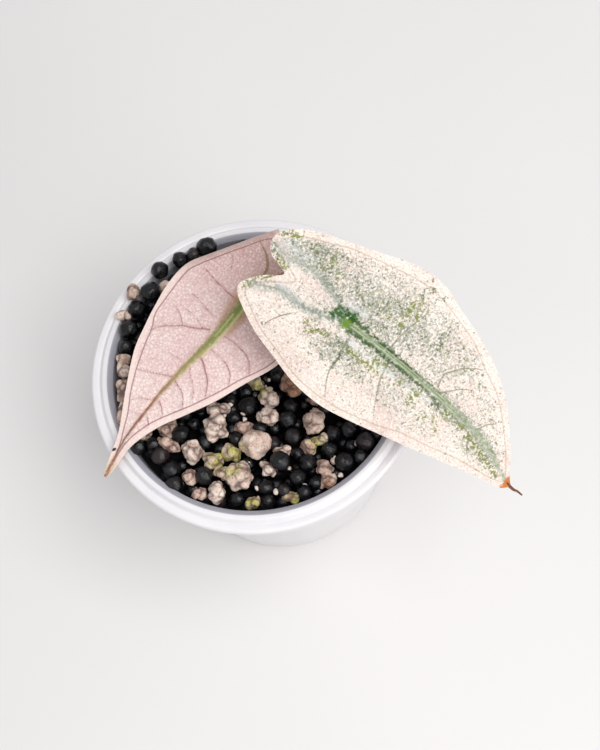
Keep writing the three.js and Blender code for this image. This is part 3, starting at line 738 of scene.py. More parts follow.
for name, full, none, strength, code, gate in bands:
    band = add("MapRange", {0: ragged[name], 1: full, 2: none, 3: strength, 4: 0})
    gated = add("Math", {0: band, 1: gate}, operation="MULTIPLY")
    layers.append((gated, code))
pale = add("MapRange", {0: field["pale"], 1: 0.5, 2: 1.2, 3: 0.75, 4: 0})
basal_line = add("MapRange", {0: field["basal"], 1: 0.08, 2: 0.28, 3: 0.5, 4: 0})
# painted highlight: pale flecks over the whole face, the green bands too
lit_fleck = add("MapRange", {0: fray, 1: 0.56, 2: 0.7, 3: 0, 4: 0.25})
frayed_along = add("Math", {0: fray, 1: 2, 2: field["along"]}, operation="MULTIPLY_ADD")
tip = add("MapRange", {0: frayed_along, 1: 60.9, 2: 61.4, 3: 0, 4: 1})
layers += [(lit_fleck, "#DADCCB"), (basal_line, "#77806E"), (pale, "#B5BDA6"), (tip, "#BE7438")]
skin_colour = body
for mask, code in layers:
    skin_colour = add("Mix", {0: mask, 6: skin_colour, 7: code}, data_type="RGBA")
crinkle = add("TexNoise", {"Vector": place, "Scale": 1 / (1.6 * mm), "Detail": 4})
bump = add("Bump", {"Height": crinkle, "Strength": 0.7, "Distance": 0.3 * mm})
plug(shader, {"Base Color": skin_colour, "Normal": bump, "Roughness": 0.5, "IOR": 1.36,
              "Subsurface Weight": 0.1, "Subsurface Scale": 0.5 * mm, "Subsurface Radius": even_scatter})
print(green_skin.name)

# %% [markdown]
# Round the edge the blade is cut through its pale inner tissue, which shows as a thin light line.

# %% Leaf edge
leaf_edge, shader, add, place = start_material("pale_leaf_tissue")
specks = add("TexNoise", {"Vector": place, "Scale": 1 / (1.2 * mm), "Detail": 2})
tint = add("ValToRGB", {0: specks}, stops=[(0.3, "#E6D3C6"), (0.7, "#F3EAE0")])
plug(shader, {"Base Color": tint, "Roughness": 0.55, "Subsurface Weight": 0.1, "Subsurface Scale": 0.5 * mm,
              "Subsurface Radius": even_scatter})
print(leaf_edge.name)

# %% [markdown]
# These are the two leaves, in the blade's own axes: along the midrib from the stalk, and across it. The
# outlines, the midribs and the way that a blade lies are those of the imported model. The finer lines are the
# side veins, the vein that runs round inside the margin, and the blotches, each with its half width at its
# start and at its end. A patch is a soft oval of green: its centre, its reach along and across, and its
# strength.

# %% Variegated leaf
variegated = {
    "attach": (27.5, -6.5, 112), "heading": -53, "fall": 19, "bank": 15,
    "droop": 0.0014, "lobe_droop": 0.0035, "arch": 0.003, "proud": -0.4, "fold": None,
    "midrib": [[-24, 0], [0, 0], [18, 0.2], [30, 0], [44, -1.1], [51, -2.4], [57, -5], [62, -6.8]],
    "rib_width": [[0, 1.2], [10, 0.6], [28, 0.5], [34, 0.75], [46, 0.85], [58, 0.5], [70, 0.3]],
    "outline": [
        [62.5, -6.5], [60.1, -8.7], [56.3, -9.6], [46.4, -12.2], [36, -15.1], [25.3, -18], [15.1, -20.7],
        [7.9, -21.9], [-0.6, -21.6], [-8.7, -19.7], [-16.9, -17.6], [-23.9, -14.5], [-27.4, -12.2],
        [-27.9, -9.6], [-24.8, -5], [-20.5, -1], [-25.8, 0.6], [-28.4, 3.2], [-28.4, 6.4], [-25.4, 10.2],
        [-20.1, 13.4], [-11.7, 16.6], [-4.7, 19.2], [1.9, 21.8], [8.5, 23.5], [14.7, 23.4], [20.7, 21.6],
        [33.9, 17.5], [45.4, 11.1], [55.6, 1.3], [60, -4.1],
    ],
    "basal": [
        ([[0, 0], [-5.3, 2.3], [-9.1, 3.3], [-12, 4.3], [-15.7, 4.3], [-18.7, 3.7], [-21.3, 2.8], [-27, 3.5]],
         1.1, 0.7),
        ([[0, 0], [-6.4, -3.4], [-9.4, -3.8], [-12.1, -4.7], [-17.6, -4.7], [-20.3, -5.6], [-25.2, -8.3]],
         1, 0.9),
    ],
    "veins": [
        ([[3.4, -2.6], [3.9, -6.8], [4.6, -9.4], [4.7, -12.5], [5.6, -15], [7.3, -17.8], [8.4, -19.3]],
         0.35, 0.2),
        ([[15.4, -1.2], [16, -3.5], [16.7, -6.3], [17.9, -8.8], [19.3, -11.4], [20.7, -13.7], [22, -15.6]],
         0.35, 0.15),
        ([[2.5, -5.6], [0, -7.6], [-2.4, -9.6]], 0.15, 0.1),
        ([[44, -2.5], [45.5, -4.8], [47.3, -7.1]], 0.3, 0.15),
        ([[-12.6, -7.9], [-14.2, -10.1], [-15.4, -12.3], [-16, -14.1], [-15.7, -15.4]], 0.25, 0.15),
        ([[-14.2, -10.1], [-15.8, -10.2], [-18.1, -9.6]], 0.2, 0.1),
        ([[29.7, 1.8], [29.1, 5.2], [30.4, 7.5], [32.2, 9.8], [34.9, 11.9], [36.7, 12.8]], 0.3, 0.15),
        ([[31.2, 0.8], [32.6, 2.3], [33.9, 3.8], [35.5, 5.4], [37.9, 6.9]], 0.25, 0.15),
        ([[30.5, -0.5], [32.5, -2.5], [33.7, -5.1], [36.1, -7.2], [39.6, -9.1]], 0.25, 0.12),
        ([[37.9, -1], [40.6, -2.4], [43.8, -2.8], [47.5, -7.1], [49.4, -8.5]], 0.25, 0.12),
        ([[45, -0.6], [45.7, 0.3], [46.4, 2], [48.4, 4]], 0.3, 0.15),
        ([[-13, 5.8], [-14.4, 7.8], [-15.2, 9.8], [-15.5, 11.6], [-15, 13.4]], 0.3, 0.15),
        ([[13.5, 1.6], [13.6, 6.5], [14.6, 11.4], [15.1, 14.5], [13.9, 17.7]], 0.25, 0.15),
    ],
    "collective": [
        [60.5, -6.5], [57.4, -8], [53.3, -8.7], [46.1, -9.9], [38.3, -12], [30.1, -13.9], [23.7, -16.4],
        [14.8, -19], [7.5, -20.1], [-0.6, -19.9], [-8.7, -18], [-16.5, -15.9], [-22.6, -13], [-25.4, -11.2],
        [-25.8, -9.2], [-22.5, -5.2], [-17, -0.7], [-23.3, 2], [-26.3, 4.4], [-26, 6.4], [-23.2, 9.5],
        [-15, 13.4], [-10.5, 15.5], [-4.7, 17.1], [1.9, 18.8], [8.5, 20.2], [14.7, 20.4], [20.8, 19.3],
        [29.6, 16.9], [36.6, 13.3], [44, 9.7], [51.4, 3.5], [56.8, -2],
    ],
    "marks": {
        "flank": [([[0.5, 1.3], [8, 1.1], [18, 0.9], [32, 0.7]], 0.8, 0.2),
                  ([[1.5, -1.5], [8, -1.2], [18, -1], [34, -1.1]], 0.65, 0.25)],
        "pale": [([[2, 0.4], [10, 0.5], [18, 0.6], [30, 0.4], [38, -0.3]], 0.22, 0.2),
                 ([[2, -0.7], [10, -0.3], [18, -0.3], [30, -0.5], [44, -1.6]], 0.25, 0.2)],
        # painted reflection: where the pale blue-grey streaks lie
        "streak": [([[3, -3.8], [10, -4], [20, -3.8]], 0.6, 0.5), ([[22, -3.2], [30, -2.8]], 0.5, 0.4),
                   ([[-17, 6.2], [-26, 5.5]], 0.8, 1.1), ([[-2, 3.6], [3, 4]], 0.9, 0.7),
                   ([[-13, -4], [-19, -3.6]], 0.8, 0.8)],
        "junction": [([[-3.6, -0.9], [-2, 0.6], [0.8, 1.7]], 1.2, 1), ([[-0.5, -1.5], [1, 0.6]], 0.8, 0.8),
                     ([[-3.6, 1.8], [-2, 1.4]], 0.7, 0.6)],
        "bright": [([[0.2, -1.2], [0.6, -0.4]], 1.3, 1)],
        "olive": [
            ([[8.9, -5.7]], 0.9, 0.9), ([[12.6, -3.5], [13.8, -3.6]], 1, 1), ([[21.2, -4]], 0.7, 0.7),
            ([[26.5, -3.2]], 0.9, 0.9), ([[26.3, -5.2], [25.9, -5.8]], 0.9, 0.8), ([[32.2, -6.9]], 0.6, 0.6),
            ([[36.4, -2.5]], 1, 1), ([[40.9, -2.2], [42.6, -2.2]], 0.7, 0.7), ([[8.2, 7.9]], 0.7, 0.7),
            ([[11.5, 11.3], [11.2, 14.8]], 0.8, 0.6), ([[11.6, 8]], 0.6, 0.6), ([[-12.2, 9.2]], 0.8, 0.8),
            ([[-8.5, 7.9]], 0.6, 0.6), ([[-17, 5]], 0.6, 0.6), ([[-7.4, -6.7]], 0.9, 0.9),
            ([[-6.4, -8.8], [-1.6, -5.9]], 0.5, 0.5), ([[-24.6, 0.8], [-21.2, 0]], 0.8, 0.6),
            ([[-26.7, -9.8], [-24.5, -6], [-22.7, -3.5]], 0.6, 0.5), ([[-27.6, 7.6], [-23.5, 9.2]], 0.8, 0.6),
            ([[4, -6], [15, -5.4]], 0.5, 0.5), ([[45, -3.2], [52, -5.4], [57, -7]], 0.8, 0.5),
            ([[34, -5.5], [37, -8]], 0.5, 0.4), ([[14, 12], [12, 17]], 0.5, 0.5),
        ],
        "dark": [
            ([[-28.2, 3.5], [-25.3, 0.9]], 0.7, 0.5), ([[32.2, -2.6]], 0.9, 0.9), ([[11.5, 17.7]], 0.6, 0.6),
            ([[22.3, 12], [23.4, 9.5]], 0.6, 0.6), ([[0.6, -11.3]], 0.5, 0.5), ([[-2, -13.4]], 0.35, 0.35),
            ([[10.9, 22.4]], 0.35, 0.35), ([[12.7, 20.4]], 0.6, 0.6), ([[16.2, 20.9]], 0.4, 0.4),
            ([[22.7, 17.2]], 0.4, 0.4), ([[23, 15.3]], 0.35, 0.35), ([[28.8, 13.9]], 0.35, 0.35),
            ([[-26.2, 7.9]], 0.4, 0.4), ([[-23.5, 7.1]], 0.4, 0.4), ([[-20, 5.6]], 0.35, 0.35),
            ([[3.6, -4], [4.4, -8], [4.7, -12]], 0.5, 0.3), ([[-7, -3.4], [-12, -4.2]], 0.5, 0.4),
            ([[-4, 2.8], [-12, 4.8]], 0.5, 0.4),
        ],
    },
    "patches": [
        (10, 9.5, 30, 10, 0.72), (4, 6, 16, 6, 0.9), (-17, 9, 13, 6, 0.9), (22, -1, 34, 3.5, 0.9),
        (4, -8, 11, 4.5, 0.75), (50, -4.5, 11, 4, 0.6), (24, -8, 15, 5, 0.45), (42, 5, 16, 6, 0.38),
        (-10, 4.5, 9, 2.6, 0.7), (-16, -4.8, 8, 2, 0.6),
    ],
    "background_greenness": 0.12,
}
print("side veins:", len(variegated["veins"]))

# %% [markdown]
# The turned leaf is written in the same way. Its midrib and main veins stand proud, its back lobe is rolled
# down past the line of its fold, and it has a brown flush beside the stalk and one dark speck near the tip.

# %% Pink leaf
pink = {
    "attach": (7, 16.5, 97), "heading": -146.5, "fall": 12, "bank": -6,
    "droop": 0.0007, "lobe_droop": 0.004, "arch": 0.0025, "proud": 0.7,
    "fold": {"point": (1.3, -13.9), "heading": -122, "radius": 3.5, "angle": 95},
    "midrib": [[-24, 0], [0, 0], [10, -0.2], [20, -0.8], [30, -2], [40, -3.1], [52, -3.2], [57, -3],
               [68, -1]],
    "rib_width": [[0, 1.5], [8, 1.2], [16, 0.85], [24, 0.6], [32, 0.4], [42, 0.3], [70, 0.2]],
    "outline": [
        [68.1, -1], [66.2, -2], [60.7, -4], [55.2, -6], [45.2, -11.4], [35, -16.7], [28.2, -18.8], [22, -20],
        [12.7, -21], [-3, -20.2], [-11, -18.8], [-16.2, -15.5], [-17.8, -11.4], [-17, -7.6], [-15, -3.4],
        [-12.2, -0.6], [-14.4, 2], [-18.5, 4.4], [-20.5, 8.4], [-18, 13.2], [-13.5, 16.6], [-6, 19.4],
        [2, 19.8], [13.4, 17.9], [22.8, 14.2], [32, 10.7], [40.1, 6.4], [46.8, 2.7], [53.2, 0.5],
        [58.3, -0.4], [65.1, -0.4],
    ],
    "basal": [
        ([[0, 0], [-4.2, -0.7], [-6.5, -1.5], [-8.3, -3.3], [-9.4, -5], [-10, -6.5], [-11.5, -9.5]],
         0.55, 0.12),
        ([[0, 0], [-7, 3.4], [-13, 6.4], [-17.5, 8]], 0.9, 0.5),
    ],
    "veins": [
        ([[6, -2], [6.2, -4.5], [6, -7.8], [5.8, -10], [5.4, -12], [4.9, -15]], 0.25, 0.15),
        ([[17.4, -3.1], [19.5, -6.5], [21.3, -10], [22.9, -12], [24.2, -13.8], [26.2, -15.7], [27.6, -16.4]],
         0.3, 0.18),
        ([[21.2, -9.9], [19.8, -11.6], [18.9, -13.2], [18.3, -14.8]], 0.18, 0.12),
        ([[13.6, -3.6], [13.5, -6.5], [13.1, -9.3], [12.6, -11.8], [12.7, -13.7]], 0.15, 0.1),
        ([[0.6, -9.2], [-1.5, -10.1], [-3.1, -11.8]], 0.15, 0.1),
        ([[34, -3], [35.3, -5.5], [37, -8.9], [38.2, -11.4], [38.6, -12.3]], 0.25, 0.15),
        ([[41.8, -2.9], [43.5, -4.9], [44.6, -7], [46.2, -8.3]], 0.2, 0.12),
        ([[46.8, -2.6], [48.2, -4.6], [49, -6]], 0.15, 0.1),
        ([[16.1, 1.5], [16, 5], [16.2, 7.7], [16.8, 10.1], [18, 11.7], [20.2, 13.4]], 0.25, 0.15),
        ([[21.5, 0.9], [21.6, 3.1], [21.6, 5.3], [22.4, 7.6], [23.6, 9.4], [25.8, 10.8]], 0.22, 0.15),
        ([[24.8, -0.4], [25.8, 1.6], [27.1, 3.3], [28.4, 5.1], [30, 6.4], [32.6, 7.9]], 0.3, 0.15),
        ([[29, -0.6], [30.2, 0.2], [31.4, 2], [32.7, 3.6], [34.8, 5.1], [36, 5.6]], 0.15, 0.1),
        ([[34.4, -1.9], [35, -0.4], [35.5, 1.3], [36.6, 2.8], [38.4, 4.2], [39.6, 4.8]], 0.22, 0.12),
        ([[41.7, -2], [42.7, -0.2], [44.3, 1.5]], 0.2, 0.12),
        ([[47.2, -1.8], [48.3, -0.6], [49.3, 0.2]], 0.18, 0.12),
        ([[28.8, -3], [29, -5.5], [29.5, -7.7], [29.6, -9.4]], 0.12, 0.08),
        ([[18.3, -4.9], [17.4, -7.3], [17.1, -10.1], [16.9, -12.8]], 0.12, 0.08),
    ],
    "collective": [
        [64, -1.6], [59.1, -2.9], [54.1, -5.1], [49.7, -7], [44, -10.3], [37.5, -13.2], [31.4, -15.5],
        [27.5, -16.6], [23.5, -18.5], [18.8, -18.8], [9.1, -18.9], [4.7, -17.2], [-0.3, -14.3], [-7.3, -9.8],
        [-10.2, -8.1], [-13, -5.5], [-12.2, -2], [-9.5, 0.4], [-12.8, 3.8], [-16.5, 6], [-18, 8.8], [-16, 12],
        [-12, 14.8], [-5.4, 17.4], [2, 17.8], [12.9, 16.6], [18.1, 14.8], [23, 12.4], [28.4, 10.3],
        [33.1, 8.1], [37, 6.1], [41.9, 3.2], [46.6, 0.6], [51.8, -1.2], [57.3, -2],
    ],
    "marks": {
        "pale": [([[6, 0.9], [14, 0.8], [20, 0.4], [25, 0]], 0.4, 0.25),
                 ([[10, -0.4], [18, -0.6]], 0.3, 0.2)],
        "blush": [([[2, -2.8], [8, -2.5], [14, -2]], 1.4, 0.6),
                  ([[2, 2.4], [8, 2.3], [15, 1.8]], 1.3, 0.6)],
        "speck": [([[60, -3.6], [60.6, -3.9]], 0.45, 0.45)],
    },
    "patches": [(10, 2, 30, 12, 0.5)],
    "background_greenness": 0.1,
}
print("side veins:", len(pink["veins"]))

# %% [markdown]
# A blade could be a fan of rings from the stalk to the edge, but those are coarse near the tip, where thin
# veins still have to show. So a fine even grid is cut to the outline, its border is drawn onto it, and
# every point then learns how far it lies from each line of the leaf.

# %% Distances on a blade
blade_grain = 0.4
far_away = 30


def line_reach(places, line, start_width, end_width):
    """How many half widths each place lies from a tapered line."""
    line = np.array(line, float)
    if len(line) == 1:
        line = np.vstack([line, line + 0.01])
    reach = np.full(len(places), float(far_away))
    count = len(line) - 1
    for index, (start, end) in enumerate(zip(line, line[1:])):
        span = end - start
        share = np.clip((places - start) @ span / (span @ span), 0, 1)
        width = start_width + (end_width - start_width) * (index + share) / count
        reach = np.minimum(reach, np.linalg.norm(places - start - share[:, None] * span, axis=1) / width)
    return reach


def inside(places, ring):
    """Whether each place lies inside a closed ring of points."""
    held = np.zeros(len(places), bool)
    for (x0, y0), (x1, y1) in zip(ring, np.roll(ring, -1, axis=0)):
        crosses = (y0 > places[:, 1]) != (y1 > places[:, 1])
        rise = y1 - y0 if y1 != y0 else 1
        held ^= crosses & (places[:, 0] < (x1 - x0) * (places[:, 1] - y0) / rise + x0)
    return held


def closed_line(points):
    """A smooth closed line through points, with a corner at its first one."""
    return smooth_line([*points, points[0]], 12)


def cut_grid(rim):
    """A flat sheet of small squares cut to the rim, in mm, with its border on the rim."""
    low, high = rim.min(axis=0) - blade_grain, rim.max(axis=0) + blade_grain
    counts = np.ceil((high - low) / blade_grain).astype(int)
    bm = bmesh.new()
    spread = Matrix.Translation((*(low + high) / 2, 0)) @ Matrix.Diagonal((*(high - low), 1, 1))
    bmesh.ops.create_grid(bm, x_segments=int(counts[0]), y_segments=int(counts[1]), size=0.5, matrix=spread)
    faces = bm.faces[:]
    kept = inside(np.array([face.calc_center_median()[:2] for face in faces]), rim)
    bmesh.ops.delete(bm, geom=[face for face, stays in zip(faces, kept) if not stays], context="FACES")
    for vert in bm.verts:
        if vert.is_boundary:
            spans = np.diff(rim, axis=0)
            off = np.array(vert.co[:2]) - rim[:-1]
            share = np.clip((off * spans).sum(axis=1) / np.maximum((spans ** 2).sum(axis=1), 1e-9), 0, 1)
            near = rim[:-1] + share[:, None] * spans
            best = np.argmin(((near - np.array(vert.co[:2])) ** 2).sum(axis=1))
            vert.co.x, vert.co.y = near[best]
    inner = [vert for vert in bm.verts if not vert.is_boundary]
    bmesh.ops.smooth_vert(bm, verts=inner, factor=0.3, use_axis_x=True, use_axis_y=True, use_axis_z=False)
    return bm


print("grid of", blade_grain, "mm")

# %% [markdown]
# How a blade lies depends on its own lines: how far a place is from the midrib, and how far past the fold,
# where the lobe rolls down round a soft bend. One matrix then sets the blade on its stalk, by its heading,
# its fall and its bank.

# %% Lie of a blade


def rib_off(leaf, along, across):
    """How far to the side of the midrib each place lies."""
    return across - np.interp(along, *np.array(leaf["midrib"]).T)


def fold_reach(leaf, along, across):
    """The direction over a blade's fold, and how far past it each place lies."""
    fold = leaf["fold"]
    over = np.array([math.cos(math.radians(fold["heading"])), math.sin(math.radians(fold["heading"]))])
    past = (along - fold["point"][0]) * over[0] + (across - fold["point"][1]) * over[1]
    return over, np.maximum(past, 0)


def roll_down(leaf, along, across, height):
    """The blade's fold: what lies past a line rolls down round a soft bend."""
    fold = leaf["fold"]
    over, past = fold_reach(leaf, along, across)
    turn = np.minimum(past / fold["radius"], math.radians(fold["angle"]))
    rest = past - turn * fold["radius"]
    forward_by = fold["radius"] * np.sin(turn) + rest * np.cos(turn) - past
    down = fold["radius"] * (1 - np.cos(turn)) + rest * np.sin(turn)
    return along + over[0] * forward_by, across + over[1] * forward_by, height - down


def leaf_matrix(leaf):
    """From a blade's own axes in mm to the plant's in metres."""
    turn = Matrix.Identity(4)
    for angle, axis in (("heading", "Z"), ("fall", "Y"), ("bank", "X")):
        turn = turn @ Matrix.Rotation(math.radians(leaf[angle]), 4, axis)
    return Matrix.Scale(mm, 4) @ Matrix.Translation(leaf["attach"]) @ turn


print("the pink leaf starts at", [round(value / mm, 1) for value in leaf_matrix(pink).translation], "mm")

# %% [markdown]
# Every point of the sheet learns its distances to the leaf's lines, in half widths of the line, and how green
# it is: most inside the leaf's patches, in clumps of noise, and not at all at the margin.

# %% What a blade's points carry
clump_sizes = (6, 4)
clump_swing = 0.6
margin_fade = 2.5
mark_names = ("vein", "basal", "flank", "pale", "streak", "junction", "bright", "olive", "dark", "blush",
              "speck")


def blade_fields(leaf, places, rim):
    """The distances and masks that the leaf's materials and its relief read."""
    along, across = places.T
    off = rib_off(leaf, along, across)
    width = np.interp(along, *np.array(leaf["rib_width"]).T)
    edge = line_reach(places, rim, 1, 1)
    ring = closed_line(leaf["collective"])
    side = np.where(inside(places, ring), 1, -1)
    fields = {"along": along, "edge": edge, "midrib": np.hypot(off, np.maximum(-along, 0)) / width,
              "collective": side * line_reach(places, ring, 1, 1)}
    marks = {"vein": leaf["veins"], "basal": leaf["basal"], **leaf["marks"]}
    for name in mark_names:
        reaches = [line_reach(places, smooth_line(line, 4), start, end)
                   for line, start, end in marks.get(name, [])]
        fields[name] = np.min(reaches, axis=0) if reaches else np.full(len(places), float(far_away))
    greenness = np.full(len(places), leaf["background_greenness"])
    for x, y, reach_along, reach_across, strength in leaf["patches"]:
        spread = ((along - x) / reach_along) ** 2 + ((across - y) / reach_across) ** 2
        greenness = np.maximum(greenness, strength * np.exp(-spread ** 1.5))
    clumps = np.array([noise.noise(Vector((x / clump_sizes[0], y / clump_sizes[1], 3))) for x, y in places])
    inward = np.clip((edge - 1) / margin_fade, 0, 1)
    fields["greenness"] = np.clip(greenness * (1 + clump_swing * clumps) * inward, 0, 1)
    fields["rolled"] = fold_reach(leaf, along, across)[1] if leaf["fold"] else np.zeros(len(places))
    return fields


print("lines that a leaf can have:", len(mark_names))

# %% [markdown]
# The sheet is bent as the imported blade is: it droops from the stalk, arches across, is waved at its margin
# and rolls down at its fold. Veins stand proud on the underside and are sunk in the upper face, which a
# single sheet gives by itself, and between the side veins the blade swells a little. Solidify makes its two
# faces and its edge, with a material for each.

# %% Shape the blades
blade_thickness = 0.5
blade_smooth_limit = math.radians(60)
waves = 9
wave_height = 0.5
rib_relief = [[-8, 0.3], [0, 1], [20, 0.8], [60, 0.15]]
rib_spread = 1.2
basal_relief = 0.35
basal_spread = 1.3
lateral_relief = 0.22
lateral_spread = 2
quilt = 0.3
quilt_reach = 9
flat_margin = 4


def round_ridge(reach):
    """A rounded ridge's height share at a reach of 0 to 1 half widths."""
    return np.sqrt(np.clip(1 - reach ** 2, 0, 1))


def make_blade(name, leaf, materials, node):
    """A leaf blade, from its flat sheet to its place on the plant."""
    rim = closed_line(leaf["outline"])
    bm = cut_grid(rim)
    places = np.array([vert.co[:2] for vert in bm.verts])
    fields = blade_fields(leaf, places, rim)
    along, across = places.T
    off = rib_off(leaf, along, across)
    middle = np.array([np.hypot(*(rim - place).T).argmin() for place in places]) / len(rim)
    share = np.hypot(along, across) / (np.hypot(along, across) + fields["edge"] + seam)
    wave = wave_height * share ** 3 * np.sin(2 * math.pi * waves * middle)
    droop = np.where(along > 0, leaf["droop"], leaf["lobe_droop"])
    rib_height = np.interp(along, *np.array(rib_relief).T)
    ridges = rib_height * round_ridge(fields["midrib"] / rib_spread)
    ridges = np.maximum(ridges, basal_relief * round_ridge(fields["basal"] / basal_spread))
    ridges = np.maximum(ridges, lateral_relief * np.exp(-(fields["vein"] / lateral_spread) ** 2))
    inward = np.clip(fields["edge"] / flat_margin, 0, 1)
    swelling = quilt * (1 - np.exp(-fields["vein"] / quilt_reach)) * inward
    height = wave - droop * along ** 2 - leaf["arch"] * off ** 2 + leaf["proud"] * (ridges - swelling)
    if leaf["fold"]:
        along, across, height = roll_down(leaf, along, across, height)
    placing = leaf_matrix(leaf)
    layers = {field: bm.verts.layers.float.new(field) for field in fields}
    for index, vert in enumerate(bm.verts):
        for field, layer in layers.items():
            vert[layer] = fields[field][index]
        vert.co = placing @ Vector((along[index], across[index], height[index]))
    bmesh.ops.recalc_face_normals(bm, faces=bm.faces)
    if sum(face.normal.z for face in bm.faces) < 0:
        bmesh.ops.reverse_faces(bm, faces=bm.faces)
    piece = make_piece(name, bm, materials, [node])
    thicken = piece.modifiers.new("thickness", "SOLIDIFY")
    thicken.thickness = blade_thickness * mm
    thicken.offset = 0
    thicken.material_offset = 1
    thicken.material_offset_rim = 2
    settle(piece)
    piece.data.set_sharp_from_angle(angle=blade_smooth_limit)
    print(name, "with both faces:", len(piece.data.polygons), "faces")
    return piece


make_blade("variegated_blade", variegated, [green_skin, pink_skin, leaf_edge],
           "leaf_variegated")
make_blade("pink_blade", pink, [pink_skin, green_skin, leaf_edge], "leaf_pink")

# %% [markdown]
# The stalks are soft and juicy, pale green with cream streaks and small brown flecks, and a smooth skin.
# The streaks run along the stalk, so the pattern is squeezed in height.

# %% Fleshy stalk skin
stalk_skin, shader, add, place = start_material("fleshy_stalk_skin")
drawn_out = add("Mapping", {"Vector": place, "Scale": (1, 1, 0.12)})
streaks = add("TexNoise", {"Vector": drawn_out, "Scale": 1 / (1.1 * mm), "Detail": 3})
body = add("ValToRGB", {0: streaks}, stops=[(0.35, "#8E9A58"), (0.52, "#AEB67C"), (0.68, "#D9D2B0")])
flecks = add("TexNoise", {"Vector": place, "Scale": 1 / (1.4 * mm), "Detail": 2})
fleck_mask = add("MapRange", {0: flecks, 1: 0.62, 2: 0.7, 3: 0, 4: 0.6})
skin_colour = add("Mix", {0: fleck_mask, 6: body, 7: "#7A4F3A"}, data_type="RGBA")
bump = add("Bump", {"Height": streaks, "Strength": 0.3, "Distance": 0.1 * mm})
plug(shader, {"Base Color": skin_colour, "Normal": bump, "Roughness": 0.38, "IOR": 1.4,
              "Subsurface Weight": 0.2, "Subsurface Scale": 1 * mm, "Subsurface Radius": even_scatter})
print(stalk_skin.name)

# %% [markdown]
# Each stalk rises from the corm, narrows upwards and bends over to its blade, the turned leaf's from above.
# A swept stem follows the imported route, and it widens at its foot, where a real one clasps the corm.

# %% Stalks
corm_top = 80.5
stalk_foot = corm_top - 3
stalk_foot_radius = 2
stalk_end_radius = 1.25
stalk_swell = 0.12
stalk_swell_turns = 9
stalk_steps = 14
stalk_off = 1.1


def blade_side(leaf, rise):
    """The point on a blade's stalk joint, this far off its visible face."""
    return [value / mm for value in leaf_matrix(leaf) @ Vector((0, 0, rise))]


def make_stalk(name, route, node):
    """A stalk along a route of points in mm."""
    path = smooth_line(route, stalk_steps)
    share = np.linspace(0, 1, len(path))
    taper = (stalk_end_radius - stalk_foot_radius) * share
    radii = stalk_foot_radius + taper + stalk_swell * np.sin(stalk_swell_turns * share)
    bm = bmesh.new()
    sweep_stem(bm, path, radii, 24)
    return make_piece(name, bm, [stalk_skin], [node])


variegated_route = [[25.3, -4.8, stalk_foot], [25.8, -4.4, 86], [27.4, -2.6, 96], [28, -2.4, 104],
                    blade_side(variegated, -stalk_off)]
pink_route = [[20.9, -3.4, stalk_foot], [21.4, -4, 90], [19.8, -1.2, 100], [14.4, 8, 104.6], [9, 14.6, 102],
              blade_side(pink, stalk_off)]
make_stalk("variegated_stalk", variegated_route, "petiole_variegated")
make_stalk("pink_stalk", pink_route, "petiole_pink")

# %% [markdown]
# The tip of the variegated leaf has dried to a thin brown tail, which goes on from the midrib. It is swept
# like a stalk, in a brown of its own.

# %% Dried leaf tip
dried, shader, add, place = start_material("dried_leaf_tip")
fibres = add("TexNoise", {"Vector": place, "Scale": 1 / (0.5 * mm), "Detail": 3})
tint = add("ValToRGB", {0: fibres}, stops=[(0.3, "#4A2C1A"), (0.7, "#8A5630")])
plug(shader, {"Base Color": tint, "Roughness": 0.7})

tail_radii = (0.5, 0.22)
tail = [[61.2, -6.6], [63.5, -6.7], [64.8, -6.4], [66.5, -6.4]]
tail_path = []
for along, across in smooth_line(tail, 5):
    off = rib_off(variegated, along, across)
    height = -variegated["droop"] * along ** 2 - variegated["arch"] * off ** 2
    tail_path.append([value / mm for value in leaf_matrix(variegated) @ Vector((along, across, height))])
bm = bmesh.new()
sweep_stem(bm, tail_path, np.linspace(*tail_radii, len(tail_path)), 10)
make_piece("dried_tip", bm, [dried])

# %% [markdown]
# The corm is the swollen foot of the plant, with a brown papery bark in rings, where old leaves fell off.
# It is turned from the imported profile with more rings, and noise roughens its bark.

# %% Corm
bark, shader, add, place = start_material("corm_bark")
squeezed = add("Mapping", {"Vector": place, "Scale": (1, 1, 4)})
layers_of_bark = add("TexNoise", {"Vector": squeezed, "Scale": 1 / (2.5 * mm), "Detail": 5})
tint = add("ValToRGB", {0: layers_of_bark}, stops=[(0.3, "#3E2A1C"), (0.55, "#6D4D33"), (0.75, "#9A7A58")])
bump = add("Bump", {"Height": layers_of_bark, "Strength": 0.6, "Distance": 0.3 * mm})
plug(shader, {"Base Color": tint, "Roughness": 0.8, "Normal": bump})

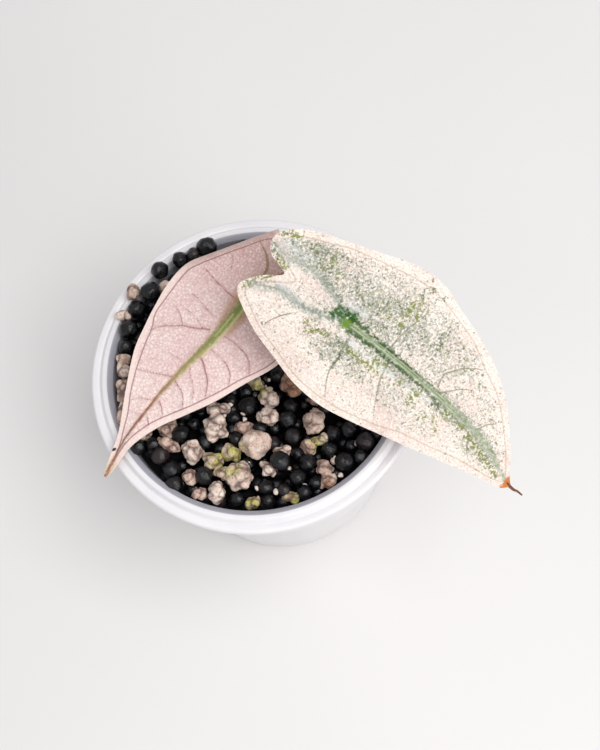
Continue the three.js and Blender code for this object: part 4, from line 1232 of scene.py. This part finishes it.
corm_foot = 58
bark_lump = 2
bark_roughness = 0.3
corm_profile = [[0, 0], [0.55, 0], [0.9, 0.18], [1, 0.49], [0.92, 0.8], [1, 0.84], [0.88, 0.88],
                [0.96, 0.93], [0.86, 1], [0, 1]]
corm_section = [[out * corm_radius, corm_foot + up * (corm_top - corm_foot)] for out, up in corm_profile]
bm = spun(corm_section, steps=48, rounding=0.3)
bmesh.ops.translate(bm, verts=bm.verts, vec=(*corm_place * mm, 0))
for vert in bm.verts:
    vert.co += vert.normal * bark_roughness * mm * noise.noise(vert.co / (bark_lump * mm))
make_piece("corm_bark_body", bm, [bark], ["corm"])

# %% [markdown]
# The plant stands on a plain pale floor. It is staged, so it isn't part of the object. The light is that of
# a studio: a wide soft box over the pot, a weaker one to the side, and a pale surround that fills the
# shadows.

# %% Floor and light
floor_size = 4

floor_paint, shader, add, place = start_material("pale_floor_paint")
clouds = add("TexNoise", {"Vector": place, "Scale": 5, "Detail": 2})
tint = add("ValToRGB", {0: clouds}, stops=[(0.3, "#DEDDDB"), (0.7, "#E4E2E0")])
plug(shader, {"Base Color": tint, "Roughness": 0.8})

bm = bmesh.new()
bmesh.ops.create_grid(bm, x_segments=1, y_segments=1, size=floor_size / 2)
floor = mesh_object("floor", bm, [floor_paint])

lamps = [("soft_box", (0.25, -0.26, 0.86), 0.5, 4.4), ("front_box", (0.55, -0.7, 0.4), 0.5, 2.2)]
light_target = Vector((0, 0, 80)) * mm
for name, place, size, power in lamps:
    light_data = bpy.data.lights.new(name, "AREA")
    light_data.shape = "SQUARE"
    light_data.size = size
    light_data.energy = power
    light = bpy.data.objects.new(name, light_data)
    light.location = place
    light.rotation_euler = (light_target - light.location).to_track_quat("-Z", "Y").to_euler()
    bpy.context.scene.collection.objects.link(light)

surround = bpy.data.worlds.new("surround")
surround.use_nodes = True
background = surround.node_tree.nodes["Background"]
background.inputs["Color"].default_value = colour("#F2F2F4")
background.inputs["Strength"].default_value = 0.72
bpy.context.scene.world = surround
bpy.context.scene.view_settings.view_transform = "Standard"
print("lamps:", len(lamps))
